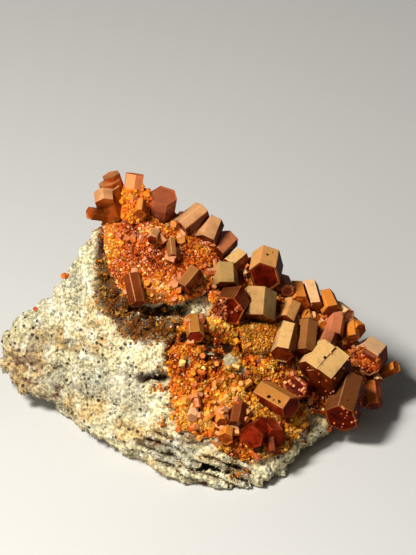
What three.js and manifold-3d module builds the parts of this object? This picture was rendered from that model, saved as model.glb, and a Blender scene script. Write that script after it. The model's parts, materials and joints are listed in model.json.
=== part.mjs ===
// Vanadinite on matrix: a broken wedge of pale rock, sheets of fine crystal crust on its
// sloping face, and large hexagonal vanadinite crystals rooted in the crust and the rock.
// Millimetres, +Z up.  The finished specimen stands on its flat base with the origin in
// the middle of the base.
import * as THREE from "three";
import { ConvexGeometry } from "three/addons/geometries/ConvexGeometry.js";
import { mergeVertices } from "three/addons/utils/BufferGeometryUtils.js";
import Module from "manifold-3d";

const wasm = await Module();
wasm.setup();

// ---- Driving dimensions -------------------------------------------------------------

const GAP = 0.3;                 // clearance round every crystal root and under each crust
const ROOT = 1.8;                // how much further a crystal runs into its bed
const SIGHT_TILT = 35;           // lean of the drawing plane that places are measured on
const MERGE_SHARE = 0.12;        // shared volume above which two crystals are one solid
const ROCK_FACETS = 6;           // subdivision of the rock surface
const ROCK_RELIEF = 0.55;        // height of the rock's lumps
const ROCK_LUMP = 17;            // length of the rock's broad lumps
const SMALL_LUMP = 7.3;          // length of its smaller lumps
const CRUST_RELIEF = 0.35;       // height of the further lumps on a crust
const CRUST_LUMP = 4.9;          // length of those
const HOLLOW_SINK = 0.8;         // depth of a hollow's centre below the plain face
const CRUST_FRONT = 60;          // how far out from its drawing plane a crust may reach
const TRIM_BLOCK = [120, 120, 30];   // block that trims the base flat
const TRIM_MIDDLE = 20;              // how far back its middle is
const PROBE_STEP = 0.25;         // step of the search for the rock's surface
const PROBE_SHIFT = 0.02;        // step of that search towards the heart, as a share of the way

const HEART = new THREE.Vector3(-2, 24, 15);   // a point deep inside the rock

// Corners of the two convex blocks that make the wedge.
const MAIN_BLOCK = [
  [-24, 30, 39.5], [-20, 31, 42.5], [-12, 32, 44.8], [-4, 32.5, 41], [3, 32, 36.3],
  [15, 31, 27], [27, 30, 19], [35, 26.5, 12],
  [37.5, 25.5, 9], [36, 24, 6], [28, 19, 6], [21, 10, 7], [17, 3, 6],
  [-25.8, 31, 32.5], [-30, 31.5, 22], [-31, 22, 7], [-29.4, 18.5, 6.6],
  [-20, 8.9, 5], [-7.4, -1.4, 4.5], [3.2, -5, 3.5], [13, -3.9, 3],
  [-28, 25, -2], [-17, 12, -2], [-6, 2, -2], [4, -2.5, -2], [12, -1, -2],
  [17, 8, -2], [23, 18, -2], [27, 27, -2], [23, 35, -2], [8, 41, -2], [-12, 41, -2],
  [-26, 37, -2], [-29, 31, -2],
  [-24, 39, 28], [-10, 41, 31], [6, 41, 24], [20, 38, 14], [30, 33, 8],
];
const TIP_BLOCK = [
  [-26.5, 31, 30], [-31, 31.5, 25.2], [-33.4, 31.5, 23.6], [-38, 31.5, 18.6],
  [-43, 31, 14.6], [-43.4, 30, 9.5], [-42.4, 28.6, 5.5], [-36, 23.5, 5.2], [-33.5, 20.5, 6.8],
  [-37, 36, 12], [-30, 38, 8], [-26, 37, 22], [-34, 33, 4], [-22, 16, 8],
  [6, 24, 15], [0, 30, 10], [0, 18, 12], [0, 25, 24],
];

const COLOURS = {
  rock: 0xd8cfb4, plate: 0xb5511f, druse: 0xc07a2c, dark: 0x5a3a20,
  tan: 0xc79a6c, red: 0x7a1c10, orange: 0xc4641f, pink: 0xc98d74,
};

// ---- The drawing planes -------------------------------------------------------------
// A place is measured across and up a plane that leans back by SIGHT_TILT, seen square-on
// from the front or from behind.  "Out" points from that plane to whoever measures, and
// "probe" is how far out and how far in the rock's surface is searched for.

const lean = THREE.MathUtils.degToRad(SIGHT_TILT);
const FRONT = {
  across: new THREE.Vector3(1, 0, 0),
  up: new THREE.Vector3(0, Math.sin(lean), Math.cos(lean)),
  out: new THREE.Vector3(0, -Math.cos(lean), Math.sin(lean)),
  probe: [30, -30],
};
const BACK = {
  across: new THREE.Vector3(-1, 0, 0),
  up: new THREE.Vector3(0, -Math.sin(lean), Math.cos(lean)),
  out: new THREE.Vector3(0, Math.cos(lean), Math.sin(lean)),
  probe: [60, 0],
};

function fromPlane(side, across, up, out) {
  return new THREE.Vector3()
    .addScaledVector(side.across, across)
    .addScaledVector(side.up, up)
    .addScaledVector(side.out, out);
}

// ---- Solids -------------------------------------------------------------------------

function toSolid(geometry) {
  const bare = geometry.clone();
  bare.deleteAttribute("normal");
  bare.deleteAttribute("uv");
  const merged = mergeVertices(bare, 1e-4);
  return new wasm.Manifold(new wasm.Mesh({
    numProp: 3,
    vertProperties: new Float32Array(merged.attributes.position.array),
    triVerts: new Uint32Array(merged.index.array),
  }));
}

function toGeometry(solid) {
  const mesh = solid.getMesh();
  const geometry = new THREE.BufferGeometry();
  geometry.setAttribute("position", new THREE.BufferAttribute(mesh.vertProperties, 3));
  geometry.setIndex(new THREE.BufferAttribute(mesh.triVerts, 1));
  return geometry;
}

// Keeps the largest body and drops chips that a cut has freed.
function largestBody(solid) {
  const bodies = solid.decompose();
  bodies.sort((a, b) => b.volume() - a.volume());
  return bodies[0];
}

// ---- The rock -----------------------------------------------------------------------

function blockPlanes(corners) {
  const hull = new ConvexGeometry(corners.map((corner) => new THREE.Vector3(...corner)));
  const position = hull.attributes.position;
  const planes = [];
  for (let i = 0; i < position.count; i += 3) {
    const [a, b, c] = [0, 1, 2].map((k) => new THREE.Vector3().fromBufferAttribute(position, i + k));
    planes.push(new THREE.Plane().setFromCoplanarPoints(a, b, c));
  }
  return planes;
}

const BLOCKS = [blockPlanes(MAIN_BLOCK), blockPlanes(TIP_BLOCK)];

// Distance from the heart of the rock to its plain surface in one direction.
function plainRadius(direction) {
  const reach = BLOCKS.map((planes) => {
    const distances = planes
      .filter((plane) => plane.normal.dot(direction) > 1e-6)
      .map((plane) => -plane.distanceToPoint(HEART) / plane.normal.dot(direction));
    return Math.min(...distances);
  });
  return Math.max(...reach);
}

// Smooth lumps between -1 and 1, made of three crossed waves.
function lumps(point, wavelength) {
  const k = (2 * Math.PI) / wavelength;
  const { x, y, z } = point;
  return (Math.sin(k * (x + 0.6 * y) + 1.3) + Math.sin(k * (0.9 * y - 0.7 * z) + 0.4)
    + Math.sin(k * (0.8 * z + 0.5 * x) + 2.1)) / 3;
}

// The rock's surface, grown outward by "growth", as a closed solid.
function rockSkin(growth, relief) {
  const ball = new THREE.IcosahedronGeometry(1, ROCK_FACETS);
  const position = ball.attributes.position;
  const direction = new THREE.Vector3();
  const point = new THREE.Vector3();
  for (let i = 0; i < position.count; i += 1) {
    direction.fromBufferAttribute(position, i).normalize();
    const plain = plainRadius(direction);
    point.copy(HEART).addScaledVector(direction, plain);
    const rough = ROCK_RELIEF * (lumps(point, ROCK_LUMP) + 0.6 * lumps(point, SMALL_LUMP));
    const extra = relief * lumps(point, CRUST_LUMP);
    point.addScaledVector(direction, rough + extra + growth);
    position.setXYZ(i, point.x, point.y, point.z);
  }
  return toSolid(ball);
}

// Hollows in the rock's face: where on the front plane, and the half sizes across, up, out.
const HOLLOWS = [
  { at: [-8.5, 34.8], half: [7.5, 2.8, 4] },     // cave under the lip of the upper plate
  { at: [-8.5, 20.8], half: [3, 1.9, 3.2] },     // smaller cave lower down
  { at: [5, 32.6], half: [4, 2.4, 3.2] },        // hollow beside the middle plate
];

// Outline of the bedding crack that splits off a thin slab along the lower front edge, and
// how deep it runs.
const CRACK = [[-3, 3.6], [4, 2.6], [11, 0.6], [11, 0.1], [3, 1.4], [-3, 2.9]];
const CRACK_DEPTH = [-4, 20];

// An ellipsoid with its axes along the drawing plane, sunk into the rock's face.
function hollow({ at: [across, up], half }) {
  const bubble = new THREE.IcosahedronGeometry(1, 2);
  bubble.scale(...half);
  const basis = new THREE.Matrix4().makeBasis(FRONT.across, FRONT.up, FRONT.out);
  basis.setPosition(fromPlane(FRONT, across, up, rockDepth(FRONT, across, up) - HOLLOW_SINK));
  bubble.applyMatrix4(basis);
  return toSolid(bubble);
}

// A block with the given outline on a drawing plane.
function outlineBlock(side, outline, from, to) {
  const shape = new THREE.Shape(outline.map(([x, y]) => new THREE.Vector2(x, y)));
  const block = new THREE.ExtrudeGeometry(shape, { depth: to - from, bevelEnabled: false });
  const basis = new THREE.Matrix4().makeBasis(side.across, side.up, side.out);
  basis.setPosition(fromPlane(side, 0, 0, from));
  block.applyMatrix4(basis);
  return toSolid(block);
}

function baseTrim() {
  const box = new THREE.BoxGeometry(...TRIM_BLOCK);
  box.translate(0, TRIM_MIDDLE, -TRIM_BLOCK[2] / 2);
  return toSolid(box);
}

function makeRock() {
  let rock = rockSkin(0, 0);
  HOLLOWS.forEach((cave) => { rock = rock.subtract(hollow(cave)); });
  return rock.subtract(outlineBlock(FRONT, CRACK, ...CRACK_DEPTH)).subtract(baseTrim());
}

// ---- The crusts ---------------------------------------------------------------------
// Each is a sheet that follows the rock, "thick" deep, over one outline on the plane.

const CRUSTS = [
  { name: "crust_upper_plate", side: FRONT, behind: -9, thick: 2.6, colour: "plate", outline: [
    [-20.2, 55], [-19.2, 47.5], [-18, 42], [-14.5, 37.6], [-9.5, 37.3], [-4, 36.6],
    [1, 38.6], [3.2, 42], [5, 45], [1, 52], [-6, 58], [-20, 60]] },
  { name: "crust_middle_plate", side: FRONT, behind: -16, thick: 2.4, colour: "plate", outline: [
    [8.4, 31.2], [9, 27.8], [12, 26.4], [15.2, 28.2], [16, 31.6]] },
  { name: "crust_lower_face", side: FRONT, behind: -16, thick: 1.4, colour: "druse", outline: [
    [-6.6, 26.2], [-5.6, 19], [-4.6, 12], [-1.5, 9.4], [3.5, 7.6], [7.5, 4.6], [12, 5],
    [17, 6.5], [22, 11], [22, 22], [15.6, 27.4], [12, 25.6], [8.2, 27], [7.4, 31],
    [3, 33.2], [-3, 32.2]] },
  { name: "crust_ridge", side: FRONT, behind: -16, thick: 1.8, colour: "druse", outline: [
    [5.4, 46], [3.8, 41.6], [1.9, 38.2], [3.4, 33.8], [8, 31.9], [16.4, 32.2], [15.8, 28],
    [22.4, 22.8], [22.6, 14], [29, 13], [36, 19], [39, 27], [30, 36], [16, 46]] },
  { name: "crust_back", side: BACK, behind: 14, thick: 1.3, colour: "dark", outline: [
    [-26, -16.5], [-18, -12], [-8, -4], [-3, 0.5], [8, 4], [19, 2.5], [16, -8], [6, -12],
    [-4, -16], [-16, -18], [-26, -19]] },
];

function makeCrust(crust, bareRock) {
  return rockSkin(crust.thick, CRUST_RELIEF)
    .intersect(outlineBlock(crust.side, crust.outline, crust.behind, CRUST_FRONT))
    .subtract(bareRock)
    .subtract(baseTrim());
}

// ---- The crystals -------------------------------------------------------------------
// Vanadinite grows as six-sided prisms.  "at" is where the middle of the visible prism
// lies on the plane, "proud" how far it stands out of the rock, "axis" the way its free
// end points (across, up, out), "roll" its turn about the axis, "wide" the three
// distances between opposite faces, "long" the visible length and "root" the hidden one.

const CRYSTALS = [
  // Standing along the top ridge, left to right.
  { name: "ridge_stack_front", at: [-19.6, 57.8], proud: 3, axis: [0.1, -0.85, 0.5],
    roll: 8, wide: [3.8, 4.2, 4], long: 2.4, root: 0.2, colour: "pink" },
  { name: "ridge_stack_low", at: [-18.8, 59.3], proud: 1.4, axis: [-0.3, 0.85, 0.4],
    roll: 15, wide: [4.8, 4.6, 4.4], long: 1.6, root: 5, colour: "red" },
  { name: "ridge_stack_mid", at: [-18.5, 60.9], proud: 1, axis: [-0.3, 0.85, 0.4],
    roll: 15, wide: [4.2, 3.8, 4], long: 1.2, colour: "red" },
  { name: "ridge_stack_high", at: [-18.1, 62.3], proud: 0.5, axis: [-0.3, 0.85, 0.4],
    roll: 15, wide: [3.4, 3.2, 3.2], long: 1.4, colour: "red" },
  { name: "ridge_left_bud", at: [-21.6, 54.8], proud: 1.6, axis: [-0.8, 0.1, 0.6],
    roll: 10, wide: [2.6, 2.4, 2.8], long: 2.6, root: 2.5, colour: "pink" },
  { name: "ridge_tall_prism", at: [-13.8, 59.6], proud: 1, axis: [0.12, 0.98, 0.12],
    roll: 4, wide: [3.6, 3.4, 3.6], long: 7, root: 2.5, colour: "pink" },
  { name: "ridge_orange_side", at: [-11.6, 57.6], proud: 0.8, axis: [0.15, 0.9, 0.4],
    roll: 20, wide: [2.7, 2.5, 2.6], long: 3.6, root: 2.5, colour: "orange" },
  { name: "ridge_large_pink", at: [-7.7, 56.9], proud: 1.6, axis: [0.12, 0.66, 0.74],
    roll: 12, wide: [5, 4.6, 4.8], long: 5.2, colour: "pink" },
  { name: "ridge_quad", at: [-2.4, 53.2], proud: 2, axis: [-0.74, -0.6, 0.3],
    roll: 15, wide: [4.2, 4.6, 3.8], long: 4.6, colour: "tan" },
  { name: "ridge_wedge", at: [1.7, 50.6], proud: 2.2, axis: [-0.33, -0.85, 0.4],
    roll: 13, wide: [4.2, 4.4, 4.4], long: 3.2, colour: "tan" },
  { name: "ridge_pink", at: [4.2, 47.8], proud: 1.2, axis: [-0.56, -0.56, 0.62],
    roll: 58, wide: [3.6, 3.8, 3.8], long: 3.8, colour: "pink" },
  { name: "ridge_tan", at: [6.6, 44.3], proud: 2.2, axis: [-0.6, -0.5, 0.62],
    roll: 22, wide: [4.2, 4.2, 4], long: 2.8, colour: "tan" },
  { name: "ridge_giant", at: [13.6, 43.2], proud: 4, axis: [-0.12, -0.57, 0.81],
    roll: 13, wide: [5.8, 6.3, 6.6], long: 4.6, colour: "red" },
  { name: "ridge_shoulder", at: [17.9, 39.6], proud: 2, axis: [0.2, -0.5, 0.84],
    roll: 5, wide: [2.8, 2.6, 2.8], long: 3, colour: "red" },
  { name: "ridge_orange", at: [20.4, 37.2], proud: 2, axis: [0.15, -0.6, 0.78],
    roll: 21, wide: [4, 4.2, 4], long: 3.6, colour: "orange" },
  { name: "ridge_white", at: [23.4, 37], proud: 1, axis: [0.2, -0.8, 0.55],
    roll: 20, wide: [3.6, 4.2, 3.8], long: 4, colour: "pink" },
  { name: "ridge_orange_right", at: [27, 35.6], proud: 1.4, axis: [0.3, -0.7, 0.62],
    roll: 26, wide: [3.8, 4, 3.8], long: 3, colour: "orange" },
  { name: "ridge_pink_right", at: [30.2, 34.2], proud: 0.6, axis: [0.5, -0.4, 0.76],
    roll: 0, wide: [2.8, 2.8, 3], long: 3, colour: "pink" },
  { name: "ridge_last", at: [32.3, 31.3], proud: 0.8, axis: [0.55, -0.45, 0.7],
    roll: 12, wide: [3, 3.2, 3], long: 3.6, colour: "orange" },
  // On the middle of the face.
  { name: "face_square", at: [5.3, 41.1], proud: 3.6, axis: [0.04, -0.87, 0.5],
    roll: 24, wide: [4.6, 4.2, 4.6], long: 3, colour: "tan" },
  { name: "face_coated", at: [6.2, 35.7], proud: 4, axis: [-0.3, -0.5, 0.8],
    roll: 38, wide: [6.4, 6.4, 6.2], long: 3.4, colour: "red" },
  { name: "face_barrel", at: [12, 35.1], proud: 3.8, axis: [-0.08, -0.94, 0.34],
    roll: 38, wide: [6, 6.5, 6.7], long: 4.4, colour: "tan" },
  { name: "face_small_tan", at: [18.3, 33.8], proud: 3, axis: [-0.3, -0.7, 0.65],
    roll: 54, wide: [3.4, 3.8, 3.4], long: 3.6, colour: "tan" },
  { name: "face_reddish", at: [28, 31], proud: 3.2, axis: [-0.18, -0.89, 0.42],
    roll: 18, wide: [3.6, 3.8, 3.8], long: 3.2, colour: "pink" },
  { name: "face_white_chip", at: [31.8, 30.2], proud: 2.6, axis: [0.1, -0.8, 0.6],
    roll: 40, wide: [2.4, 2.4, 2.6], long: 2.8, colour: "pink" },
  { name: "face_orange_low", at: [26, 28.2], proud: 3, axis: [-0.3, -0.6, 0.74],
    roll: 10, wide: [3.8, 4.2, 3.8], long: 3.6, colour: "orange" },
  { name: "face_orange_block", at: [22, 33], proud: 2.2, axis: [0.1, -0.6, 0.8],
    roll: 30, wide: [3, 3.2, 3], long: 3, colour: "orange" },
  { name: "column_tan", at: [17.5, 28.1], proud: 4, axis: [-0.19, -0.69, 0.7],
    roll: 26, wide: [4.2, 4.2, 4.2], long: 6.6, colour: "tan" },
  { name: "column_brown", at: [21.8, 28.2], proud: 3.6, axis: [-0.1, -0.85, 0.5],
    roll: 54, wide: [4.4, 4.4, 4.2], long: 5.4, colour: "red" },
  { name: "twin_left", at: [24, 24], proud: 5.4, axis: [-0.58, -0.66, 0.47],
    roll: 20, wide: [5, 5.4, 5.2], long: 5, colour: "tan" },
  { name: "twin_right", at: [26.4, 21.9], proud: 5.8, axis: [-0.54, -0.62, 0.57],
    roll: 10, wide: [5.8, 6.4, 6.4], long: 5.6, colour: "tan" },
  { name: "pitted_block", at: [16.4, 16.4], proud: 4, axis: [0.72, -0.4, 0.57],
    roll: 5, wide: [5, 4.5, 4.8], long: 6.6, colour: "tan" },
  { name: "glassy_red", at: [20, 18.8], proud: 2.6, axis: [-0.35, 0.1, 0.93],
    roll: 51, wide: [4.8, 5, 5.4], long: 3.4, colour: "red" },
  { name: "right_giant", at: [30, 15.4], proud: 5, axis: [-0.24, -0.76, 0.6],
    roll: 12, wide: [6.4, 7.8, 7.4], long: 7.6, colour: "red" },
  { name: "right_end", at: [35.2, 25], proud: 2.6, axis: [-0.35, -0.35, 0.87],
    roll: 5, wide: [5.8, 5.4, 6.4], long: 4.2, colour: "red" },
  { name: "right_far_prism", at: [40, 22.6], proud: 1, axis: [0.75, 0.35, 0.56],
    roll: 13, wide: [2.3, 2.3, 2.4], long: 3, colour: "orange" },
  { name: "right_cube", at: [36, 16.4], proud: 2.4, axis: [0.1, -0.9, 0.42],
    roll: 36, wide: [3.6, 3.8, 3.6], long: 3.4, colour: "red" },
  { name: "right_small", at: [37, 20.6], proud: 2.2, axis: [0.3, -0.6, 0.74],
    roll: 0, wide: [1.6, 1.6, 1.6], long: 2, colour: "pink" },
  // On and under the upper plate.
  { name: "plate_standing", at: [-13.1, 38.4], proud: 3.6, axis: [0.21, -0.9, 0.38],
    roll: 20, wide: [3.4, 3.4, 3.2], long: 4.8, colour: "orange" },
  { name: "plate_tan", at: [-2.7, 40.6], proud: 3.6, axis: [-0.59, -0.72, 0.36],
    roll: 38, wide: [3.4, 3.6, 3.4], long: 3.2, colour: "tan" },
  { name: "plate_flat", at: [-12.2, 55.2], proud: 3, axis: [-0.1, -0.8, 0.6],
    roll: 30, wide: [2, 3.2, 2.4], long: 1.4, colour: "orange" },
  { name: "plate_red_left", at: [-9.6, 49.8], proud: 3, axis: [-0.2, -0.4, 0.9],
    roll: 10, wide: [2, 2, 2.2], long: 2, colour: "red" },
  { name: "plate_red_right", at: [-5.6, 46.8], proud: 3, axis: [0.1, -0.8, 0.6],
    roll: 20, wide: [2, 2.6, 2.2], long: 2.6, colour: "red" },
  { name: "hollow_upright", at: [-1, 30.8], proud: 2.6, axis: [0.08, -0.65, 0.76],
    roll: 34, wide: [3.2, 3.2, 3.4], long: 4, colour: "orange" },
  // On the lower face.
  { name: "low_pink_left", at: [-1.4, 13.6], proud: 1.8, axis: [-0.2, -0.5, 0.84],
    roll: 10, wide: [2, 2, 2.2], long: 2.2, colour: "pink" },
  { name: "low_orange_left", at: [-1, 17.2], proud: 1.8, axis: [0, -0.6, 0.8],
    roll: 30, wide: [1.8, 1.8, 1.8], long: 2, colour: "orange" },
  { name: "low_orange", at: [4.2, 12.8], proud: 1.8, axis: [0.2, -0.6, 0.77],
    roll: 25, wide: [2.2, 2.3, 2.2], long: 2.6, colour: "orange" },
  { name: "low_brown", at: [7.6, 13], proud: 2.4, axis: [-0.17, -0.87, 0.47],
    roll: 40, wide: [3, 3.2, 3], long: 3, colour: "orange" },
  { name: "low_round", at: [5.4, 9.6], proud: 2, axis: [-0.1, -0.6, 0.8],
    roll: 5, wide: [2.9, 2.9, 2.9], long: 3, colour: "orange" },
  { name: "bottom_red", at: [11.2, 9.7], proud: 3, axis: [-0.35, -0.3, 0.89],
    roll: 53, wide: [4.4, 4.6, 4.8], long: 4, colour: "red" },
  { name: "bottom_dark", at: [14.8, 9.6], proud: 2.6, axis: [0.35, -0.45, 0.82],
    roll: 15, wide: [4.2, 4, 4.4], long: 3.6, colour: "red" },
  { name: "bottom_pink", at: [14.6, 7], proud: 3.6, axis: [0.1, -0.9, 0.42],
    roll: 20, wide: [1.8, 1.8, 1.9], long: 2.2, colour: "pink" },
  // Behind.
  { name: "back_upper_left", side: BACK, at: [14, -1], proud: 1.2, axis: [0.2, 0.3, 0.93],
    roll: 12, wide: [4, 4.2, 4], long: 4, colour: "orange" },
  { name: "back_upper_mid", side: BACK, at: [2, -4], proud: 1.2, axis: [-0.3, 0.2, 0.93],
    roll: 40, wide: [4.8, 4.6, 5], long: 4.4, colour: "red" },
  { name: "back_right", side: BACK, at: [-14, -13], proud: 1, axis: [-0.4, 0.3, 0.87],
    roll: 25, wide: [4.2, 4.4, 4.2], long: 4, colour: "red" },
  { name: "back_low", side: BACK, at: [-4, -13], proud: 1, axis: [0.1, -0.2, 0.97],
    roll: 0, wide: [3.4, 3.4, 3.6], long: 3.4, colour: "orange" },
  { name: "back_low_left", side: BACK, at: [10, -9], proud: 1, axis: [0.3, 0.1, 0.95],
    roll: 33, wide: [3.2, 3.2, 3], long: 3.2, colour: "tan" },
];

// Depth of the plain rock along "out" at a place on the plane; above or beside the rock's
// outline, the depth of the nearest rim straight towards the heart.
function rockDepth(side, across, up) {
  const heart = [HEART.dot(side.across), HEART.dot(side.up)];
  const [nearest, deepest] = side.probe;
  for (let inward = 0; inward < 1; inward += PROBE_SHIFT) {
    const x = across + (heart[0] - across) * inward;
    const y = up + (heart[1] - up) * inward;
    for (let out = nearest; out > deepest; out -= PROBE_STEP) {
      const offset = fromPlane(side, x, y, out).sub(HEART);
      const radius = offset.length();
      if (radius < plainRadius(offset.normalize())) {
        return out;
      }
    }
  }
  throw new Error("no rock under this place");
}

// Corners of a six-sided section whose opposite faces are "wide" apart.
function sectionCorners(wide, roll, growth) {
  const corners = [];
  for (let k = 0; k < 6; k += 1) {
    const a = THREE.MathUtils.degToRad(roll + 60 * k);
    const near = wide[k % 3] / 2 + growth;
    const next = wide[(k + 1) % 3] / 2 + growth;
    const along = (next - near * Math.cos(Math.PI / 3)) / Math.sin(Math.PI / 3);
    corners.push(new THREE.Vector2(
      near * Math.cos(a) - along * Math.sin(a),
      near * Math.sin(a) + along * Math.cos(a),
    ));
  }
  return corners;
}

function prism(crystal, growth) {
  const side = crystal.side ?? FRONT;
  const [across, up] = crystal.at;
  const middle = fromPlane(side, across, up, rockDepth(side, across, up) + crystal.proud);
  const axis = fromPlane(side, ...crystal.axis).normalize();
  const aside = side.across.clone().addScaledVector(axis, -axis.dot(side.across)).normalize();
  const third = new THREE.Vector3().crossVectors(axis, aside);
  const length = crystal.long + (crystal.root ?? ROOT) + 2 * growth;
  const shape = new THREE.Shape(sectionCorners(crystal.wide, crystal.roll, growth));
  const geometry = new THREE.ExtrudeGeometry(shape, { depth: length, bevelEnabled: false });
  const basis = new THREE.Matrix4().makeBasis(aside, third, axis);
  basis.setPosition(middle.addScaledVector(axis, crystal.long / 2 + growth - length));
  geometry.applyMatrix4(basis);
  return toSolid(geometry);
}

// Crystals that share more than MERGE_SHARE of the smaller one have grown through each
// other and are one solid, named after the first.  One that only brushes an earlier
// crystal stops short of it.
function growTogether(crystals) {
  const groups = [];
  crystals.forEach((crystal) => {
    let body = prism(crystal, 0);
    let reach = prism(crystal, GAP);
    const through = groups.filter((group) => {
      const shared = group.body.intersect(body).volume();
      return shared > MERGE_SHARE * Math.min(group.body.volume(), body.volume());
    });
    through.forEach((group) => {
      body = group.body.add(body);
      reach = group.reach.add(reach);
      groups.splice(groups.indexOf(group), 1);
    });
    groups.forEach((group) => { body = body.subtract(group.reach); });
    groups.push({ crystal: through[0]?.crystal ?? crystal, body: largestBody(body), reach });
  });
  return groups;
}

// ---- Assembly -----------------------------------------------------------------------

function meshOf(name, solid, colour, roughness) {
  const material = new THREE.MeshStandardMaterial({ color: COLOURS[colour], roughness, metalness: 0 });
  const mesh = new THREE.Mesh(toGeometry(solid), material);
  mesh.name = name;
  return mesh;
}

const groups = growTogether(CRYSTALS);
const sockets = groups.map((group) => group.reach);
const cutSockets = (solid) => sockets.reduce((rest, socket) => rest.subtract(socket), solid);

const specimen = new THREE.Group();
specimen.add(meshOf("rock_matrix", largestBody(cutSockets(makeRock())), "rock", 0.95));
CRUSTS.forEach((crust) => {
  const sheet = largestBody(cutSockets(makeCrust(crust, rockSkin(GAP, 0))));
  specimen.add(meshOf(crust.name, sheet, crust.colour, 0.7));
});
groups.forEach((group) => {
  specimen.add(meshOf(`crystal_${group.crystal.name}`, group.body, group.crystal.colour, 0.35));
});

const box = new THREE.Box3().setFromObject(specimen);
const middle = box.getCenter(new THREE.Vector3());
specimen.position.set(-middle.x, -middle.y, -box.min.z);

export default specimen;
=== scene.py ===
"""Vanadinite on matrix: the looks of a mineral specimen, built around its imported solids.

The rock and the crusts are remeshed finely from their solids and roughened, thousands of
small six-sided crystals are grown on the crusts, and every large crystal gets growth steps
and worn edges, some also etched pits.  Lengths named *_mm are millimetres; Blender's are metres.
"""

import json
import math

import bmesh
import bpy
import numpy as np
from bpy.props import FloatProperty, FloatVectorProperty, IntProperty, PointerProperty
from mathutils import Matrix, Vector
from mathutils.bvhtree import BVHTree

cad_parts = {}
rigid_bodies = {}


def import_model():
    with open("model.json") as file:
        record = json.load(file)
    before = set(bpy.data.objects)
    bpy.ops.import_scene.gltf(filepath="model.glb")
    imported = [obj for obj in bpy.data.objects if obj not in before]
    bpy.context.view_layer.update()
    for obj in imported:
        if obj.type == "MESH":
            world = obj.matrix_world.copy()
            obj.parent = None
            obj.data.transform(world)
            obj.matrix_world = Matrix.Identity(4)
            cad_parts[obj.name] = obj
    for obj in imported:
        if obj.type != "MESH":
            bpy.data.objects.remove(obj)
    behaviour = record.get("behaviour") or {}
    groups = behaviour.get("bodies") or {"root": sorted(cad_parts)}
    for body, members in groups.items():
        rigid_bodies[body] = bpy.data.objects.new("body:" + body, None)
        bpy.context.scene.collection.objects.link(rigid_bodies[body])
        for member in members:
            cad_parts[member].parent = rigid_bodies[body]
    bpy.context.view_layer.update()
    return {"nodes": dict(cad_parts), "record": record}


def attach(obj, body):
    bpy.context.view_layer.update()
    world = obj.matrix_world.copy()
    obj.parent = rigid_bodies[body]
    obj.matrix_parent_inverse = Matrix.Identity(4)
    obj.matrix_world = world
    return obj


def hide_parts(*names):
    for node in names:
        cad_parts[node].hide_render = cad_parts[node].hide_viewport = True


bl_info = {
    "name": "Vanadinite Specimen",
    "version": (1, 0, 0),
    "blender": (4, 5, 0),
    "location": "3D View > Sidebar > Specimen",
    "description": "Builds the visible surfaces of a vanadinite specimen around its solids",
    "category": "Object",
}

MM = 0.001
BODY = "root"
ROCK = "rock_matrix"
SIGHT_TILT = math.radians(35)  # how far above the horizon the crystal face is looked at
SIGHT_UP = np.array([0, math.sin(SIGHT_TILT), math.cos(SIGHT_TILT)])
SIGHT_OUT = np.array([0, -math.cos(SIGHT_TILT), math.sin(SIGHT_TILT)])
VIEW_MIDDLE_MM = (1.7, 17.1, 24.4)  # what the camera looks at
LAMP_TARGET_MM = (0, 0, 20)
FLOOR_HALF_MM = 900

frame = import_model()
CRUSTS = sorted(name for name in frame["nodes"] if name.startswith("crust_"))
CRYSTALS = sorted(name for name in frame["nodes"] if name.startswith("crystal_"))
SLOT_OF = {part["node"]: part["material_slot"] for part in frame["record"]["subparts"]}


# ---- Colours ----


def linear(hex_colour):
    """An sRGB hex colour as linear red, green, blue and full alpha."""
    channels = [int(hex_colour[i : i + 2], 16) / 255 for i in (1, 3, 5)]
    return tuple(
        c / 12.92 if c <= 0.04045 else ((c + 0.055) / 1.055) ** 2.4 for c in channels
    ) + (1.0,)


def colour_property(name, description, hex_colour):
    """A colour that a user can change."""
    return FloatVectorProperty(
        name=name, description=description, subtype="COLOR", size=4, min=0, max=1,
        default=linear(hex_colour),
    )


def mixed(first, second, amount):
    """Rows of colours between two colours, or between rows of colours."""
    first, second = np.asarray(first)[..., :3], np.asarray(second)[..., :3]
    return first + (second - first) * amount[:, None]


# ---- Settings a user would change ----


class RockSettings(bpy.types.PropertyGroup):
    """Sizes and colours of the matrix rock."""

    voxel_mm: FloatProperty(
        name="Facet size", description="Edge of the rock's fine mesh, in mm", default=0.39, min=0.2
    )
    chip_mm: FloatProperty(
        name="Chip height", description="Height of the broken facets, in mm", default=0.75, min=0
    )
    grit_mm: FloatProperty(
        name="Grit height", description="Height of the sandy grain, in mm", default=0.28, min=0
    )
    grain_mm: FloatProperty(
        name="Grain size", description="Width of the loose grains, in mm", default=0.36, min=0.1
    )
    cream: colour_property("Fresh rock", "Colour of the clean broken rock", "#ddcf9f")
    pale: colour_property("Pale grains", "Colour of the palest grains", "#f6eece")
    grey: colour_property("Grey-green rock", "Colour of the clayey patches", "#96907a")
    ochre: colour_property("Ochre stain", "Colour of the light iron stain", "#c99c50")
    brown: colour_property("Brown stain", "Colour of the strong iron stain", "#5a340f")
    pink_brown: colour_property("Speckle", "Colour of the speckled tip", "#8a5a3c")
    # The pits are dark dots of painted shade.
    pit: colour_property("Pits", "Colour inside the leached pits", "#241a0e")


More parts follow.
